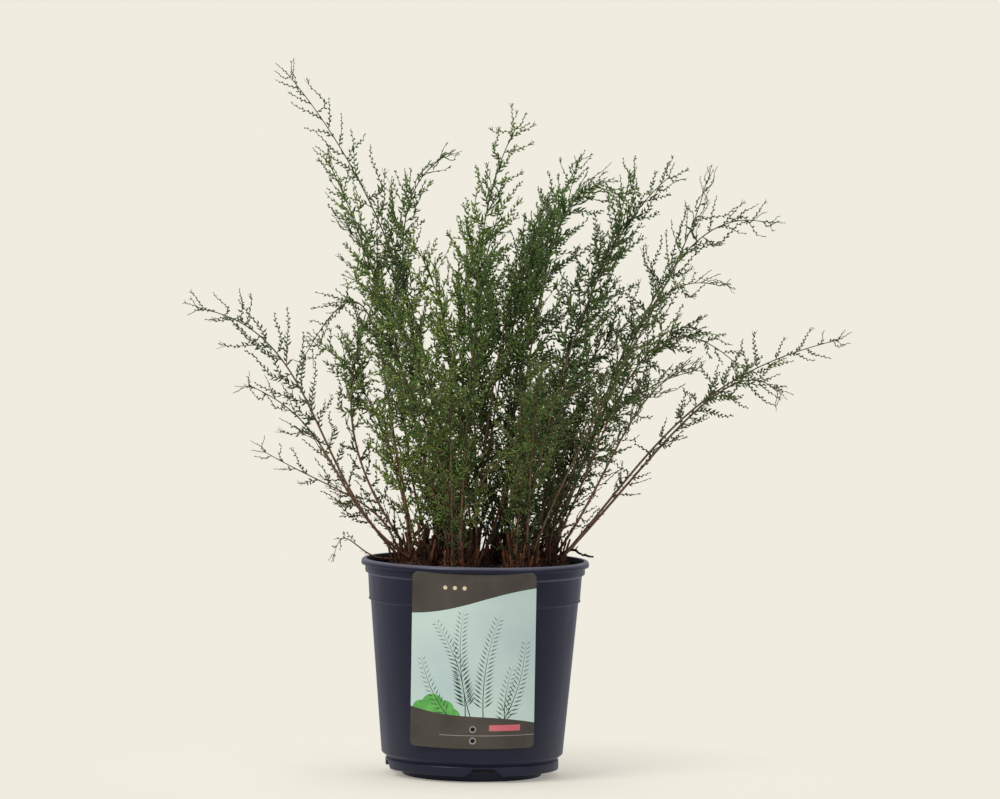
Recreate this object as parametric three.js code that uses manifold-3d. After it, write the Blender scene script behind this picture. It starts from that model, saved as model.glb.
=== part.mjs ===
// A male fern with narrow many-fingered leaflets, growing in a plastic nursery pot.
// Millimetres, +Z up. The origin is on the pot's axis, on the ground. -Y is the front, where the label is.

import * as THREE from 'three';
import { mergeVertices } from 'three/addons/utils/BufferGeometryUtils.js';
import Module from 'manifold-3d';

const wasm = await Module();
wasm.setup();

// Driving dimensions of the pot
const POT_SIDES = 28;
const POT_HEIGHT = 180;
const LIP_RADIUS = 95;
const LIP_UNDERSIDE_Z = 174.5;
const LIP_SEAT_RADIUS = 91.7;
const COLLAR_TOP = { r: 89.2, z: 167 };
const COLLAR_BOTTOM = { r: 87.9, z: 147.6 };
const RAISED_LINE = 0.7;
const WALL_TOP = { r: 86.6, z: 145 };
const WALL_BOTTOM = { r: 75.7, z: 18.5 };
const GROOVE = { r: 70.6, z: 14.4 };
const SKIRT = { r: 72.3, top: 13.4, bottom: 5.9 };
const FOOT_RING = { inner: 53, outer: 58, height: 5.9 };
const CENTRE_FOOT_RADIUS = 12;
const FLOOR_UNDERSIDE_Z = 4.2;
const FLOOR_TOP_Z = 9.4;
const WALL_THICKNESS = 1.8;
const DRAIN = { count: 4, firstDegrees: -82, topWidth: 17, bottomWidth: 35, top: 12, bottom: 4.6 };
const DRAIN_REACH = { inner: 59.5, outer: 78 };

// Driving dimensions of the growing mix and the rootstocks
const GAP = 0.3;
const SOIL_RINGS = [{ r: 74, z: 169.5 }, { r: 45, z: 173 }, { r: 17, z: 174 }];
const SOIL_EDGE_Z = 167;
const SOIL_LUMPS = 1.1;
const CROWN_SIDES = 8;
const CROWN_BOTTOM_Z = 160;
const CROWN_TOP_Z = 185;
const CROWN_RINGS = [
  { r: 0.8, z: 163 }, { r: 0.98, z: 173 }, { r: 0.82, z: 179 }, { r: 0.46, z: 183.5 },
];
const SCALE_RELIEF = 1.3;
const CROWNS = {
  left: { x: -50, y: -8, r: 20 },
  centre: { x: -6, y: -4, r: 17 },
  right: { x: 57, y: -5, r: 20 },
  back_left: { x: -26, y: 38, r: 17 },
  back_right: { x: 26, y: 42, r: 15 },
  front_left: { x: -12, y: -48, r: 15 },
  front_right: { x: 38, y: -42, r: 15 },
};

// Driving dimensions of the label
const LABEL = { width: 105, height: 145.5, thickness: 0.7, bend: 120, corner: 4, top: 174.2, front: 92.45 };
const LABEL_LEAN_DEGREES = 6;
const LABEL_STRIPS = 12;
const LABEL_HOLES = { radius: 2, heights: [16.3, 6.7], x: 0.5 };

// Driving dimensions of the fronds
const STIPE_TOP_Z = 181;
const STIPE_DEPTH = 11.5;
const STIPE_RADIUS = 1.45;
const TIP_RADIUS = 0.75;
const SOCKET_CLEARANCE = 0.35;
const MIDRIB_STEPS = 6;
const LEAFLET_SPACING = 8;
const LEAFLET_ANGLE = 58;
const LEAFLET_LIFT = 0.25;
const LEAFLET_TWIST = 35;
const LEAFLET_CURL = 0.3;
const LEAFLET_CLEARANCE = 0.4;
const LEAFLET_KEEL = 0.85;
const FOOT_KEEL = 0.5;
const LONG_LEAFLET = 42;
const MEDIUM_LEAFLET = 18;
const FINGER_LENGTH = 17;
const FINGER_ANGLE = 35;
const FINGER_WAIST = { ahead: 1.2, behind: 0.9, half: 0.7 };
const FROND_SEED = 41;
const BUSH_SEED = 8;
const SOIL_SEED = 3;

// The long fronds one by one: root on its crown, two points along the midrib, and the tip
const TALL_FRONDS = [
  { name: 'upper_left', root: [-17, 1], via: [[-38, -10, 322], [-84, -20, 459]], tip: [-160, -30, 579],
    bare: 0.36, leaflet: 42, roll: 75 },
  { name: 'left_tall', root: [-30, 33], via: [[-53, 40, 293], [-91, 45, 417]], tip: [-129, 45, 508],
    bare: 0.3, leaflet: 44, roll: 50 },
  { name: 'left_arch', root: [-62, -13], via: [[-118, -30, 263], [-160, -38, 342]], tip: [-229, -40, 386],
    bare: 0.42, leaflet: 44, roll: 70 },
  { name: 'left_middle', root: [-53, -23], via: [[-102, -50, 232], [-133, -75, 284]], tip: [-185, -90, 325],
    bare: 0.4, leaflet: 34, roll: 40 },
  { name: 'left_low', root: [-63, -3], via: [[-84, 5, 216], [-122, 15, 238]], tip: [-178, 25, 265],
    bare: 0.3, leaflet: 36, roll: 60 },
  { name: 'left_upright', root: [-52, 3], via: [[-99, 10, 265], [-105, 25, 333]], tip: [-89, 35, 393],
    bare: 0.4, leaflet: 36, roll: 60 },
  { name: 'left_nodding', root: [-44, -6], via: [[-71, -10, 292], [-94, -15, 386]], tip: [-144, -20, 348],
    bare: 0.35, leaflet: 34, roll: 70 },
  { name: 'left_back', root: [-36, 42], via: [[-61, 60, 283], [-74, 80, 374]], tip: [-115, 95, 454],
    bare: 0.3, leaflet: 44, roll: 20 },
  { name: 'right_long', root: [70, -9], via: [[133, -12, 260], [198, -15, 324]], tip: [295, -20, 368],
    bare: 0.52, leaflet: 34, roll: 80 },
  { name: 'right_spray', root: [71, 1], via: [[137, 25, 256], [200, 40, 319]], tip: [250, 50, 323],
    bare: 0.5, leaflet: 36, roll: 50 },
  { name: 'right_arch', root: [58, -15], via: [[102, -35, 284], [145, -50, 361]], tip: [212, -60, 349],
    bare: 0.3, leaflet: 40, roll: 50 },
  { name: 'right_high', root: [51, 0], via: [[102, 0, 298], [157, 5, 420]], tip: [236, 10, 465],
    bare: 0.3, leaflet: 46, roll: 65 },
  { name: 'right_upright', root: [45, -38], via: [[93, -60, 294], [148, -70, 404]], tip: [184, -80, 499],
    bare: 0.28, leaflet: 44, roll: 40 },
  { name: 'right_tall', root: [35, -38], via: [[60, -40, 300], [98, -30, 417]], tip: [156, -20, 502],
    bare: 0.28, leaflet: 44, roll: 60 },
  { name: 'right_back', root: [31, 44], via: [[59, 55, 302], [98, 60, 411]], tip: [124, 60, 499],
    bare: 0.25, leaflet: 46, roll: 40 },
  { name: 'middle_left', root: [-18, 42], via: [[-45, 60, 309], [-66, 70, 433]], tip: [-32, 75, 515],
    bare: 0.28, leaflet: 42, roll: 50 },
  { name: 'middle_tall', root: [1, -10], via: [[-3, 0, 313], [0, 0, 438]], tip: [28, 0, 540],
    bare: 0.28, leaflet: 46, roll: 80 },
  { name: 'middle_back', root: [20, 42], via: [[31, 35, 303], [49, 30, 421]], tip: [80, 30, 509],
    bare: 0.25, leaflet: 46, roll: 60 },
  { name: 'middle_right', root: [5, 2], via: [[37, -30, 316], [62, -45, 451]], tip: [114, -55, 485],
    bare: 0.28, leaflet: 46, roll: 30 },
  { name: 'right_far', root: [57, 10], via: [[95, 40, 279], [136, 70, 378]], tip: [204, 90, 409],
    bare: 0.3, leaflet: 40, roll: 40 },
  { name: 'right_low', root: [64, -4], via: [[102, -60, 252], [133, -90, 313]], tip: [173, -110, 347],
    bare: 0.35, leaflet: 34, roll: 30 },
];
const SPRIG = {
  name: 'sprig', root: [-74, -21], via: [[-94, -30, 189], [-108, -34, 198]], tip: [-117, -40, 183],
  bare: 0.5, leaflet: 11, roll: 70,
};

// The bush between them, placed all round by a seeded rule. The stems of a tuft grow from one root.
const BUSH = [
  { name: 'inner', tufts: 7, stems: 1, reach: [35, 95], height: [427, 502], bare: 0.24, leaflet: 44 },
  { name: 'outer', tufts: 7, stems: 1, reach: [140, 200], height: [317, 422], bare: 0.24, leaflet: 42 },
  { name: 'young', tufts: 8, stems: 2, reach: [55, 125], height: [265, 340], bare: 0.16, leaflet: 34 },
  { name: 'low', tufts: 5, stems: 1, reach: [60, 110], height: [218, 268], bare: 0.14, leaflet: 28 },
];
const STEM_FAN_DEGREES = 40;
const BUSH_CENTRE_X = 18;
const ROOT_SHARE = 0.35;
const BUSH_TRIES = 60;
const LEAFLETS_PER_BUILT = { tall: 3, bush: 5 };
const MIDRIB_CLEARANCE = 0.4;
const GOLDEN_ANGLE = 137.5;

// The dead stalk that leans over the rim
const TWIG_POINTS = [
  [62, 21, 163], [70, 17, 181], [77, 14, 188], [83.5, 12, 188.2], [89.5, 10, 184], [98.5, 8, 182.8],
];
const TWIG_RADIUS = 1.3;

// Colours, and how rough each surface is
const MATERIALS = {
  pot: new THREE.MeshStandardMaterial({ color: 0x2e2e3b, roughness: 0.42, metalness: 0 }),
  label: new THREE.MeshStandardMaterial({ color: 0xc3d6d2, roughness: 0.4, metalness: 0 }),
  soil: new THREE.MeshStandardMaterial({ color: 0x2a211b, roughness: 0.95, metalness: 0 }),
  crown: new THREE.MeshStandardMaterial({ color: 0x6a3a24, roughness: 0.9, metalness: 0 }),
  frond: new THREE.MeshStandardMaterial({ color: 0x486f2c, roughness: 0.6, metalness: 0 }),
  twig: new THREE.MeshStandardMaterial({ color: 0x2b241d, roughness: 0.9, metalness: 0 }),
};

const radians = THREE.MathUtils.degToRad;
const UP = new THREE.Vector3(0, 0, 1);

// A repeatable stream of numbers from 0 to 1
function randomStream(seed) {
  let state = seed >>> 0;
  return () => {
    state = (state + 0x6d2b79f5) >>> 0;
    let mixed = Math.imul(state ^ (state >>> 15), state | 1);
    mixed ^= mixed + Math.imul(mixed ^ (mixed >>> 7), mixed | 61);
    return ((mixed ^ (mixed >>> 14)) >>> 0) / 4294967296;
  };
}

// Shared corners are merged and slivers of no area dropped, which leaves a closed solid
function toSolid(geometry) {
  const bare = new THREE.BufferGeometry();
  bare.setAttribute('position', geometry.getAttribute('position'));
  bare.setIndex(geometry.getIndex());
  const merged = mergeVertices(bare, 1e-4);
  const corners = merged.getIndex().array;
  const triVerts = [];
  for (let i = 0; i < corners.length; i += 3) {
    const [a, b, c] = corners.slice(i, i + 3);
    if (a !== b && b !== c && c !== a) triVerts.push(a, b, c);
  }
  const vertProperties = new Float32Array(merged.getAttribute('position').array);
  const skin = new wasm.Mesh({ numProp: 3, vertProperties, triVerts: new Uint32Array(triVerts) });
  return new wasm.Manifold(skin);
}

function toMesh(name, solid, material) {
  const { vertProperties, triVerts } = solid.getMesh();
  const geometry = new THREE.BufferGeometry();
  geometry.setAttribute('position', new THREE.BufferAttribute(vertProperties, 3));
  geometry.setIndex(new THREE.BufferAttribute(triVerts, 1));
  geometry.computeVertexNormals();
  const mesh = new THREE.Mesh(geometry, material);
  mesh.name = name;
  return mesh;
}

// A closed skin over rings of equally many points. A ring of one point is a sharp end.
function loftGeometry(rings) {
  const points = rings.flat();
  const starts = [];
  rings.reduce((start, ring) => { starts.push(start); return start + ring.length; }, 0);
  const index = [];
  for (let k = 0; k + 1 < rings.length; k += 1) {
    const sides = Math.max(rings[k].length, rings[k + 1].length);
    for (let i = 0; i < sides; i += 1) {
      const j = (i + 1) % sides;
      const lower = (n) => starts[k] + (rings[k].length === 1 ? 0 : n);
      const upper = (n) => starts[k + 1] + (rings[k + 1].length === 1 ? 0 : n);
      if (rings[k].length > 1) index.push(lower(i), lower(j), upper(j));
      if (rings[k + 1].length > 1) index.push(lower(i), upper(j), upper(i));
    }
  }
  capEnd(index, rings[0].length, starts[0], true);
  capEnd(index, rings[rings.length - 1].length, starts[rings.length - 1], false);
  const geometry = new THREE.BufferGeometry();
  geometry.setAttribute('position', new THREE.Float32BufferAttribute(points.flatMap((p) => p.toArray()), 3));
  geometry.setIndex(index);
  return geometry;
}

function capEnd(index, sides, start, facesBack) {
  for (let i = 1; i + 1 < sides; i += 1) {
    if (facesBack) index.push(start, start + i + 1, start + i);
    else index.push(start, start + i, start + i + 1);
  }
}

// A three-sided rod along straight steps, with one face held level with `side`. No radius is a sharp end.
function rodSolid(points, radii, side) {
  const rings = points.map((point, k) => {
    const ahead = points[Math.min(k + 1, points.length - 1)];
    const behind = points[Math.max(k - 1, 0)];
    const along = ahead.clone().sub(behind).normalize();
    const across = side.clone().addScaledVector(along, -side.dot(along)).normalize();
    const normal = along.clone().cross(across);
    if (radii[k] === 0) return [point];
    return [-90, 30, 150].map((degrees) => point.clone()
      .addScaledVector(across, radii[k] * Math.cos(radians(degrees)))
      .addScaledVector(normal, radii[k] * Math.sin(radians(degrees))));
  });
  return toSolid(loftGeometry(rings));
}

function turned(profile, sides) {
  const geometry = new THREE.LatheGeometry(profile.map(({ r, z }) => new THREE.Vector2(r, z)), sides);
  geometry.rotateX(Math.PI / 2);
  return geometry;
}

// Pot

// The inside of the wall, from the edge of the floor up to the underside of the lip
function innerWall(offset) {
  const inset = WALL_THICKNESS + offset;
  return [
    { r: GROOVE.r - inset, z: FLOOR_TOP_Z + offset },
    { r: GROOVE.r - inset, z: GROOVE.z },
    { r: WALL_BOTTOM.r - inset, z: WALL_BOTTOM.z },
    { r: WALL_TOP.r - inset, z: WALL_TOP.z },
    { r: COLLAR_BOTTOM.r - inset, z: COLLAR_BOTTOM.z },
  ];
}

function potProfile() {
  const { r: skirtRadius, top: skirtTop, bottom: skirtBottom } = SKIRT;
  const outside = [
    { r: 0, z: 0 },
    { r: CENTRE_FOOT_RADIUS, z: 0 },
    { r: CENTRE_FOOT_RADIUS + 1.5, z: FLOOR_UNDERSIDE_Z },
    { r: FOOT_RING.inner - 1, z: FLOOR_UNDERSIDE_Z },
    { r: FOOT_RING.inner, z: 0 },
    { r: FOOT_RING.outer, z: 0 },
    { r: FOOT_RING.outer, z: FOOT_RING.height },
    { r: skirtRadius, z: skirtBottom },
    { r: skirtRadius, z: skirtTop },
    { r: GROOVE.r, z: GROOVE.z },
    { r: WALL_BOTTOM.r, z: WALL_BOTTOM.z },
    { r: WALL_TOP.r, z: WALL_TOP.z },
    { r: COLLAR_BOTTOM.r + RAISED_LINE, z: COLLAR_BOTTOM.z - 1.3 },
    { r: COLLAR_BOTTOM.r, z: COLLAR_BOTTOM.z },
    { r: COLLAR_TOP.r, z: COLLAR_TOP.z },
    { r: COLLAR_TOP.r + RAISED_LINE, z: COLLAR_TOP.z + 0.9 },
    { r: LIP_SEAT_RADIUS, z: COLLAR_TOP.z + 2 },
    { r: LIP_SEAT_RADIUS, z: LIP_UNDERSIDE_Z },
    { r: LIP_RADIUS, z: LIP_UNDERSIDE_Z + 0.6 },
    { r: LIP_RADIUS, z: POT_HEIGHT - 1.8 },
    { r: LIP_RADIUS - 1.3, z: POT_HEIGHT },
    { r: LIP_RADIUS - 4, z: POT_HEIGHT },
  ];
  const inside = innerWall(0).reverse();
  const lipRoot = { r: COLLAR_TOP.r - 0.8, z: LIP_UNDERSIDE_Z + 2 };
  return [...outside, lipRoot, { r: COLLAR_TOP.r - WALL_THICKNESS, z: COLLAR_TOP.z }, ...inside,
    { r: 0, z: FLOOR_TOP_Z }];
}

// A notch through the skirt and the edge of the floor, wider at the bottom, which lets water out
function drainNotch(degrees) {
  const outline = new THREE.Shape();
  outline.moveTo(-DRAIN.bottomWidth / 2, DRAIN.bottom);
  outline.lineTo(DRAIN.bottomWidth / 2, DRAIN.bottom);
  outline.lineTo(DRAIN.topWidth / 2, DRAIN.top);
  outline.lineTo(-DRAIN.topWidth / 2, DRAIN.top);
  const depth = DRAIN_REACH.outer - DRAIN_REACH.inner;
  const geometry = new THREE.ExtrudeGeometry(outline, { depth, bevelEnabled: false });
  geometry.translate(0, 0, DRAIN_REACH.inner);
  geometry.rotateX(Math.PI / 2);
  geometry.rotateZ(Math.PI / 2 + radians(degrees));
  return toSolid(geometry);
}

function potSolid() {
  let pot = toSolid(turned(potProfile(), POT_SIDES));
  for (let i = 0; i < DRAIN.count; i += 1) {
    pot = pot.subtract(drainNotch(DRAIN.firstDegrees + (i * 360) / DRAIN.count));
  }
  return pot;
}

// Growing mix and rootstocks

function soilSolid() {
  const random = randomStream(SOIL_SEED);
  const wall = [...innerWall(GAP), { r: COLLAR_TOP.r - WALL_THICKNESS - GAP, z: SOIL_EDGE_Z }];
  const profile = [{ r: 0, z: FLOOR_TOP_Z + GAP }, ...wall, ...SOIL_RINGS, { r: 0, z: SOIL_RINGS.at(-1).z }];
  const geometry = turned(profile, POT_SIDES);
  const position = geometry.getAttribute('position');
  const lumps = Array.from({ length: POT_SIDES * SOIL_RINGS.length }, () => (random() * 2 - 1) * SOIL_LUMPS);
  for (let i = 0; i < position.count; i += 1) {
    const row = i % profile.length;
    const ring = row - (profile.length - 1 - SOIL_RINGS.length);
    const turn = Math.floor(i / profile.length) % POT_SIDES;
    const onTop = ring >= 0 && ring < SOIL_RINGS.length;
    if (onTop) position.setZ(i, position.getZ(i) + lumps[ring * POT_SIDES + turn]);
  }
  return toSolid(geometry);
}

// A rootstock's knob, with overlapping scales as a relief of staggered bumps
function crownSolid({ x, y, r }, grow) {
  const rings = CROWN_RINGS.map((ring, k) => Array.from({ length: CROWN_SIDES }, (_, i) => {
    const angle = ((i + (k % 2) / 2) * 2 * Math.PI) / CROWN_SIDES;
    const reach = r * ring.r + ((i + k) % 2) * SCALE_RELIEF + grow;
    return new THREE.Vector3(x + reach * Math.cos(angle), y + reach * Math.sin(angle), ring.z);
  }));
  const bottom = [new THREE.Vector3(x, y, CROWN_BOTTOM_Z - grow)];
  const top = [new THREE.Vector3(x, y, CROWN_TOP_Z + grow)];
  return toSolid(loftGeometry([bottom, ...rings, top]));
}

// Frond plan

// The smooth curve that starts at the first of four points, passes the next two and ends at the last
function curveThrough(p) {
  const mix = (weights) => {
    const sum = new THREE.Vector3();
    p.forEach((point, i) => sum.addScaledVector(point, weights[i] / 6));
    return sum;
  };
  return new THREE.CubicBezierCurve3(p[0], mix([-5, 18, -9, 2]), mix([2, -9, 18, -5]), p[3]);
}

function frondFrame(plan, t) {
  const along = plan.curve.getTangent(t);
  const heading = plan.tip.clone().sub(plan.root).setZ(0).normalize();
  const level = UP.clone().cross(heading);
  const across = level.addScaledVector(along, -level.dot(along)).normalize();
  across.applyAxisAngle(along, radians(plan.roll));
  return { along, across, normal: along.clone().cross(across) };
}

function planFrond(row, number) {
  const root = new THREE.Vector3(row.root[0], row.root[1], STIPE_TOP_Z);
  const via = row.via.map((point) => new THREE.Vector3(...point));
  const tip = new THREE.Vector3(...row.tip);
  const curve = curveThrough([root, ...via, tip]);
  const plan = { ...row, root, tip, curve, steps: curve.getPoints(MIDRIB_STEPS) };
  plan.leaflets = planLeaflets(plan, randomStream(FROND_SEED + number));
  return plan;
}

// The place on the midrib's straight steps, from 0 at the root to 1 at the tip
function pointOnSteps(steps, t) {
  const step = Math.min(Math.floor(t * MIDRIB_STEPS), MIDRIB_STEPS - 1);
  return steps[step].clone().lerp(steps[step + 1], t * MIDRIB_STEPS - step);
}

// How long a leaflet is along the leafy stretch, next to the longest one
function leafletShare(along) {
  return (0.55 + 0.45 * Math.min(1, along / 0.3)) * (1 - 0.66 * along ** 1.6);
}

// Leaflets stand left and right in turn, lean to the tip, and twist and bend a little at random
function planLeaflets(plan, random) {
  const leafy = plan.curve.getLength() * (1 - plan.bare);
  const built = Math.max(2, Math.round(leafy / (LEAFLET_SPACING * plan.leafletsPerBuilt)));
  const count = built * plan.leafletsPerBuilt;
  const leaflets = [];
  for (let k = 0; k < count; k += 1) {
    const share = (k + 0.5) / count;
    const [twistDraw, angleDraw, lengthDraw] = [random(), random(), random()];
    const t = plan.bare + (1 - plan.bare) * share;
    const { along, across, normal } = frondFrame(plan, t);
    const twist = radians((twistDraw * 2 - 1) * LEAFLET_TWIST);
    const angle = radians(LEAFLET_ANGLE - 16 * share + (angleDraw - 0.5) * 20);
    const hand = k % 2 === 0 ? 1 : -1;
    const outward = across.clone().multiplyScalar(hand * Math.cos(twist))
      .addScaledVector(normal, Math.sin(twist));
    const direction = along.clone().multiplyScalar(Math.cos(angle))
      .addScaledVector(outward, Math.sin(angle));
    direction.z += LEAFLET_LIFT;
    leaflets.push({
      base: pointOnSteps(plan.steps, t),
      direction: direction.normalize(),
      bend: along.clone().multiplyScalar(LEAFLET_CURL),
      normal,
      length: plan.leaflet * leafletShare(share) * (0.8 + 0.4 * lengthDraw),
    });
  }
  return leaflets;
}

// The rootstock that stands nearest below a frond's tip, drawn in to the middle of the pot
function crownBelow(x, y) {
  const distance = (crown) => Math.hypot(crown.x - x * ROOT_SHARE, crown.y - y * ROOT_SHARE);
  return Object.values(CROWNS).reduce((best, crown) => (distance(crown) < distance(best) ? crown : best));
}

function rootBelow(tip, random) {
  const crown = crownBelow(tip[0], tip[1]);
  const heading = random() * 2 * Math.PI;
  const reach = crown.r * (0.3 + 0.45 * random());
  return [crown.x + reach * Math.cos(heading), crown.y + reach * Math.sin(heading)];
}

// One frond of a tuft: it rises steeply, then arches out to its tip
function tuftRow(kind, tuft, stem, sharedRoot, random) {
  const fan = (stem - (kind.stems - 1) / 2) * STEM_FAN_DEGREES;
  const heading = radians(tuft * GOLDEN_ANGLE + fan + (random() - 0.5) * 30);
  const reach = THREE.MathUtils.lerp(...kind.reach, random());
  const height = THREE.MathUtils.lerp(...kind.height, random());
  const tip = [BUSH_CENTRE_X + 0.85 * reach * Math.cos(heading), reach * Math.sin(heading), height];
  const root = sharedRoot ?? rootBelow(tip, random);
  const between = (out, rise) => [
    THREE.MathUtils.lerp(root[0], tip[0], out),
    THREE.MathUtils.lerp(root[1], tip[1], out),
    THREE.MathUtils.lerp(STIPE_TOP_Z, height, rise),
  ];
  const via = [between(0.2, 0.42), between(0.52, 0.78)];
  return { root, via, tip, bare: kind.bare, leaflet: kind.leaflet, roll: (random() - 0.5) * 90 };
}

// The stems of one tuft, whose draws are repeated until each midrib runs clear of all that is taken
function planTuft(kind, name, tuft, first, taken, random) {
  const plans = [];
  for (let tries = 0; tries < BUSH_TRIES && plans.length < kind.stems; tries += 1) {
    const row = tuftRow(kind, tuft, plans.length, plans[0]?.foot, random);
    const leafletsPerBuilt = LEAFLETS_PER_BUILT.bush;
    const plan = planFrond({ ...row, name, foot: row.root, leafletsPerBuilt }, first + plans.length);
    if (isClear(midribStretches(plan), taken, name, MIDRIB_CLEARANCE)) plans.push(plan);
  }
  return plans;
}

// Every frond: the listed ones, then the bush's tufts
function planFronds() {
  const leafletsPerBuilt = LEAFLETS_PER_BUILT.tall;
  const plans = [...TALL_FRONDS, SPRIG].map((row, number) => planFrond({ ...row, leafletsPerBuilt }, number));
  const random = randomStream(BUSH_SEED);
  const taken = [...plans.flatMap(midribStretches), ...stretchesOf(twigPoints(), TWIG_RADIUS, 'twig')];
  let tuft = 0;
  BUSH.forEach((kind) => {
    for (let i = 1; i <= kind.tufts; i += 1) {
      const name = `${kind.name}_${String(i).padStart(2, '0')}`;
      const found = planTuft(kind, name, tuft, plans.length, taken, random);
      plans.push(...found);
      taken.push(...found.flatMap(midribStretches));
      tuft += 1;
    }
  });
  return { plans, taken };
}

function crestLength(plan) {
  return Math.min(FINGER_LENGTH, plan.leaflet * 0.6);
}

// The midrib runs straight down into the rootstock, and on past the tip as the crest's middle finger
function midribPoints(plan) {
  const points = plan.steps.map((point) => point.clone());
  const down = points[0].clone().sub(points[1]).normalize();
  points[0].addScaledVector(down, STIPE_DEPTH);
  return [...points, plan.tip.clone().addScaledVector(frondFrame(plan, 1).along, crestLength(plan))];
}

function midribStretches(plan) {
  return stretchesOf(midribPoints(plan), STIPE_RADIUS, plan.name);
}

function stretchesOf(points, reach, owner) {
  return points.slice(1).map((point, i) => ({ ends: [points[i], point], reach, owner }));
}

// Closest distance between two straight stretches
function stretchDistance([a, b], [c, d]) {
  const u = b.clone().sub(a);
  const v = d.clone().sub(c);
  const w = a.clone().sub(c);
  const uu = u.dot(u);
  const uv = u.dot(v);
  const vv = v.dot(v);
  const uw = u.dot(w);
  const vw = v.dot(w);
  const area = uu * vv - uv * uv;
  let s = area > 1e-9 ? THREE.MathUtils.clamp((uv * vw - vv * uw) / area, 0, 1) : 0;
  let t = (uv * s + vw) / vv;
  if (t < 0 || t > 1) {
    t = THREE.MathUtils.clamp(t, 0, 1);
    s = THREE.MathUtils.clamp((uv * t - uw) / uu, 0, 1);
  }
  return w.addScaledVector(u, s).addScaledVector(v, -t).length();
}

function isClear(stretches, taken, owner, clearance) {
  return stretches.every(({ ends, reach }) => taken.every((other) => other.owner === owner
    || stretchDistance(ends, other.ends) > reach + other.reach + clearance));
}

// Frond solids

function midribSolid(plan, points) {
  const radii = plan.steps.map((_, k) => THREE.MathUtils.lerp(STIPE_RADIUS, TIP_RADIUS, k / MIDRIB_STEPS));
  return rodSolid(points, [...radii, 0], frondFrame(plan, 0.5).across);
}

// A plain hole that the foot of a stipe stands in
function socketSolid(plan, points) {
  const down = points[0].clone().sub(points[1]).normalize();
  const ends = [SOCKET_CLEARANCE, -40].map((reach) => points[0].clone().addScaledVector(down, reach));
  const radius = STIPE_RADIUS + 2 * SOCKET_CLEARANCE;
  return rodSolid(ends, [radius, radius], frondFrame(plan, 0.5).across);
}

// Half widths along a leaflet: each wide place is a pair of teeth, cut back to the rib just past it
function leafletOutline(length) {
  if (length > LONG_LEAFLET) return [[0, 0.5], [0.3, 2.6], [0.42, 0.75], [0.66, 2]];
  if (length > MEDIUM_LEAFLET) return [[0, 0.5], [0.42, 2]];
  return [[0, 0.6]];
}

function leafletPoint({ base, direction, bend, length }, share) {
  return base.clone()
    .addScaledVector(direction, length * share)
    .addScaledVector(bend, length * share * share);
}

// A thin three-sided blade: two toothed edges above, the rib as a keel below, and a sharp tip
function leafletSolid(leaflet) {
  const rings = leafletOutline(leaflet.length).map(([share, half]) => {
    const middle = leafletPoint(leaflet, share);
    const across = leaflet.direction.clone().cross(leaflet.normal).normalize();
    const below = leaflet.direction.clone().cross(across).normalize();
    const keel = share === 0 ? FOOT_KEEL : LEAFLET_KEEL;
    return [
      middle.clone().addScaledVector(across, half).addScaledVector(below, -keel / 3),
      middle.clone().addScaledVector(below, keel),
      middle.clone().addScaledVector(across, -half).addScaledVector(below, -keel / 3),
    ];
  });
  return toSolid(loftGeometry([...rings, [leafletPoint(leaflet, 1)]]));
}

// The two side fingers of a frond's crest: one rod with sharp ends, widest where it crosses the midrib
function crestSolid({ base, along, normal, ends }) {
  const { ahead, behind, half } = FINGER_WAIST;
  const waist = [[-behind, half], [ahead, 0], [-behind, -half]].map(([forward, up]) => base.clone()
    .addScaledVector(along, forward)
    .addScaledVector(normal, up));
  return toSolid(loftGeometry([[ends[0]], waist, [ends[1]]]));
}

// Side fingers that would cross another frond are shortened, and left out only as a last resort
function clearCrest(plan, taken) {
  const { along, normal } = frondFrame(plan, 1);
  const base = plan.tip.clone().addScaledVector(along, -1);
  for (const share of [0.85, 0.65, 0.5]) {
    const ends = [-1, 1].map((turn) => base.clone().addScaledVector(
      along.clone().applyAxisAngle(normal, radians(turn * FINGER_ANGLE)),
      share * crestLength(plan),
    ));
    const stretches = ends.flatMap((end) => stretchesOf([base, end], FINGER_WAIST.ahead, plan.name));
    const clear = isClear(stretches, taken, plan.name, LEAFLET_CLEARANCE);
    if (clear) return { base, along, normal, ends, stretches };
  }
  return null;
}

function leafletStretches(leaflet, owner) {
  const halfWidth = Math.max(...leafletOutline(leaflet.length).map(([, half]) => half));
  const points = [0, 0.4, 0.7, 1].map((share) => leafletPoint(leaflet, share));
  return stretchesOf(points, halfWidth, owner);
}

// A leaflet that would cross another frond is bent aside or shortened, and left out only as a last resort
function clearLeaflet(leaflet, taken, owner) {
  for (const length of [1, 0.75, 0.55]) {
    for (const turn of [0, 18, -18, 36, -36]) {
      const direction = leaflet.direction.clone().applyAxisAngle(leaflet.normal, radians(turn));
      const tried = { ...leaflet, direction, length: leaflet.length * length };
      const stretches = leafletStretches(tried, owner);
      const rises = leafletPoint(tried, 1).z > POT_HEIGHT + 4;
      if (rises && isClear(stretches, taken, owner, LEAFLET_CLEARANCE)) return { leaflet: tried, stretches };
    }
  }
  return null;
}

function frondSolid(plan, points, taken) {
  let frond = midribSolid(plan, points);
  const crest = clearCrest(plan, taken);
  if (crest) {
    frond = frond.add(crestSolid(crest));
    taken.push(...crest.stretches);
  }
  plan.leaflets.filter((_, k) => k % plan.leafletsPerBuilt === 0).forEach((leaflet) => {
    const found = clearLeaflet(leaflet, taken, plan.name);
    if (!found) return;
    frond = frond.add(leafletSolid(found.leaflet));
    taken.push(...found.stretches);
  });
  return frond;
}

// Label and twig

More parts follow.
